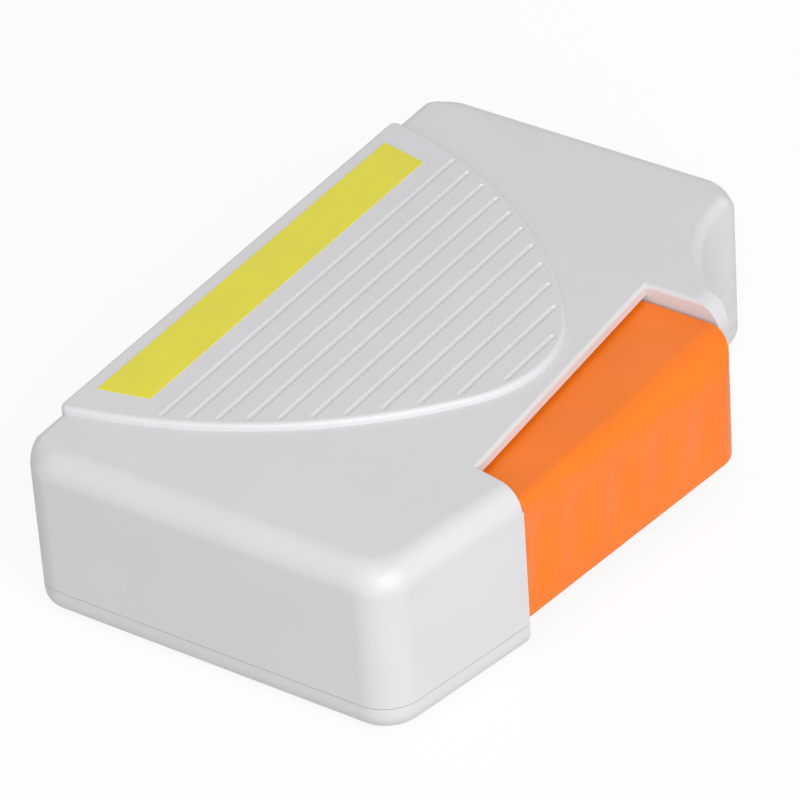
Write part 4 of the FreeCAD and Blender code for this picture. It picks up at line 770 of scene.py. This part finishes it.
class CLEANBOX_OT_stage(bpy.types.Operator):
    """Pale floor, soft studio light and the camera"""

    bl_idname = "cleanbox.stage"
    bl_label = "Studio"

    def execute(self, context):
        values = stage_values()
        context.scene.view_settings.view_transform = "Standard"
        self.floor(values)
        self.sky(values)
        self.key_lamp(values)
        self.camera(values)
        return {"FINISHED"}

    def floor(self, values):
        """Square floor that looks white to the eye and in reflections, and keeps a soft shadow."""
        half = 0.5 * values.floor_size
        mesh = bpy.data.meshes.new("floor")
        under = -0.2 * MM
        corners = [(x * half, y * half, under) for x, y in ((-1, -1), (1, -1), (1, 1), (-1, 1))]
        mesh.from_pydata(corners, [], [(0, 1, 2, 3)])
        piece = bpy.data.objects.new("floor", mesh)
        bpy.context.scene.collection.objects.link(piece)
        material = bpy.data.materials.new("floor_pale")
        material.use_nodes = True
        tree = material.node_tree
        tree.nodes.remove(tree.nodes["Principled BSDF"])
        paint = tree.nodes.new("ShaderNodeBsdfDiffuse")
        glow = tree.nodes.new("ShaderNodeEmission")
        mix = tree.nodes.new("ShaderNodeMixShader")
        for low, high, socket in ((values.floor_bounce, 1.0, paint.inputs["Color"]),
                                  (0.0, values.floor_glow, mix.inputs["Fac"])):
            span = tree.nodes.new("ShaderNodeMapRange")
            span.inputs["To Min"].default_value = low
            span.inputs["To Max"].default_value = high
            tree.links.new(self.seen(tree), span.inputs["Value"])
            tree.links.new(span.outputs["Result"], socket)
        tree.links.new(paint.outputs[0], mix.inputs[1])
        tree.links.new(glow.outputs[0], mix.inputs[2])
        tree.links.new(mix.outputs[0], tree.nodes["Material Output"].inputs["Surface"])
        mesh.materials.append(material)

    def seen(self, tree):
        """1 for what the camera sees, directly, in a reflection or through something clear."""
        path = tree.nodes.new("ShaderNodeLightPath")
        value = path.outputs["Is Camera Ray"]
        for name in ("Is Glossy Ray", "Is Transmission Ray"):
            larger = tree.nodes.new("ShaderNodeMath")
            larger.operation = "MAXIMUM"
            tree.links.new(value, larger.inputs[0])
            tree.links.new(path.outputs[name], larger.inputs[1])
            value = larger.outputs[0]
        return value

    def sky(self, values):
        """Even white light from all sides, seen as plain white."""
        world = bpy.data.worlds.new("studio")
        world.use_nodes = True
        tree = world.node_tree
        light = tree.nodes["Background"]
        light.inputs["Color"].default_value = (1.0, 1.0, 1.0, 1.0)
        light.inputs["Strength"].default_value = values.sky
        white = tree.nodes.new("ShaderNodeBackground")
        white.inputs["Color"].default_value = (1.0, 1.0, 1.0, 1.0)
        white.inputs["Strength"].default_value = 1.0
        mix = tree.nodes.new("ShaderNodeMixShader")
        tree.links.new(self.seen(tree), mix.inputs["Fac"])
        tree.links.new(light.outputs[0], mix.inputs[1])
        tree.links.new(white.outputs[0], mix.inputs[2])
        tree.links.new(mix.outputs[0], tree.nodes["World Output"].inputs["Surface"])
        bpy.context.scene.world = world

    def key_lamp(self, values):
        """Large square lamp on the lever side, which lights that wall more than the top."""
        data = bpy.data.lights.new("key", "AREA")
        data.energy = values.key_power
        data.size = values.key_size
        lamp = bpy.data.objects.new("key", data)
        distance = 1.2
        way = np.array([-0.5025, -0.7035, 0.5025])
        lamp.location = distance * way
        lamp.rotation_euler = (math.acos(way[2]), 0.0, math.atan2(way[1], way[0]) + 0.5 * math.pi)
        bpy.context.scene.collection.objects.link(lamp)

    def camera(self, values):
        """Camera at the photograph's angle."""
        data = bpy.data.cameras.new("camera")
        data.sensor_width = 36.0
        data.lens = values.lens
        data.clip_start = 0.05
        view = bpy.data.objects.new("camera", data)
        turn_degrees = (54.4523, 3.3821, -56.0347)
        view.location = (-0.59892, -0.43211, 0.54364)
        view.rotation_euler = [math.radians(angle) for angle in turn_degrees]
        bpy.context.scene.collection.objects.link(view)
        bpy.context.scene.camera = view


OPERATORS = (
    CLEANBOX_OT_shells,
    CLEANBOX_OT_lever,
    CLEANBOX_OT_label,
    CLEANBOX_OT_screws,
    CLEANBOX_OT_return_spring,
    CLEANBOX_OT_tape,
    CLEANBOX_OT_drive,
    CLEANBOX_OT_slots,
    CLEANBOX_OT_stage,
)


class VIEW3D_PT_cleaning_box(bpy.types.Panel):
    """Buttons for every group of pieces, with the sizes and colours they use"""

    bl_label = "Cleaning box"
    bl_space_type = "VIEW_3D"
    bl_region_type = "UI"
    bl_category = "Cleaning box"

    def draw(self, context):
        for operator in OPERATORS:
            self.layout.operator(operator.bl_idname)
        for group in (sizes(), colours(), stage_values()):
            column = self.layout.box().column()
            for name in group.__annotations__:
                column.prop(group, name)


GROUPS = {
    "cleaning_box_sizes": CleaningBoxSizes,
    "cleaning_box_colours": CleaningBoxColours,
    "cleaning_box_stage": CleaningBoxStage,
}


def register():
    """Registers the property groups, operators and panel."""
    for name, group in GROUPS.items():
        bpy.utils.register_class(group)
        setattr(bpy.types.Scene, name, bpy.props.PointerProperty(type=group))
    for item in OPERATORS + (VIEW3D_PT_cleaning_box,):
        bpy.utils.register_class(item)


def unregister():
    """Takes them out again."""
    for item in (VIEW3D_PT_cleaning_box,) + OPERATORS[::-1]:
        bpy.utils.unregister_class(item)
    for name, group in GROUPS.items():
        delattr(bpy.types.Scene, name)
        bpy.utils.unregister_class(group)


def main():
    """Builds every group in order."""
    register()
    bpy.ops.cleanbox.shells()
    bpy.ops.cleanbox.lever()
    bpy.ops.cleanbox.label()
    bpy.ops.cleanbox.screws()
    bpy.ops.cleanbox.return_spring()
    bpy.ops.cleanbox.tape()
    bpy.ops.cleanbox.drive()
    bpy.ops.cleanbox.slots()
    bpy.ops.cleanbox.stage()


if __name__ == "__main__":
    main()
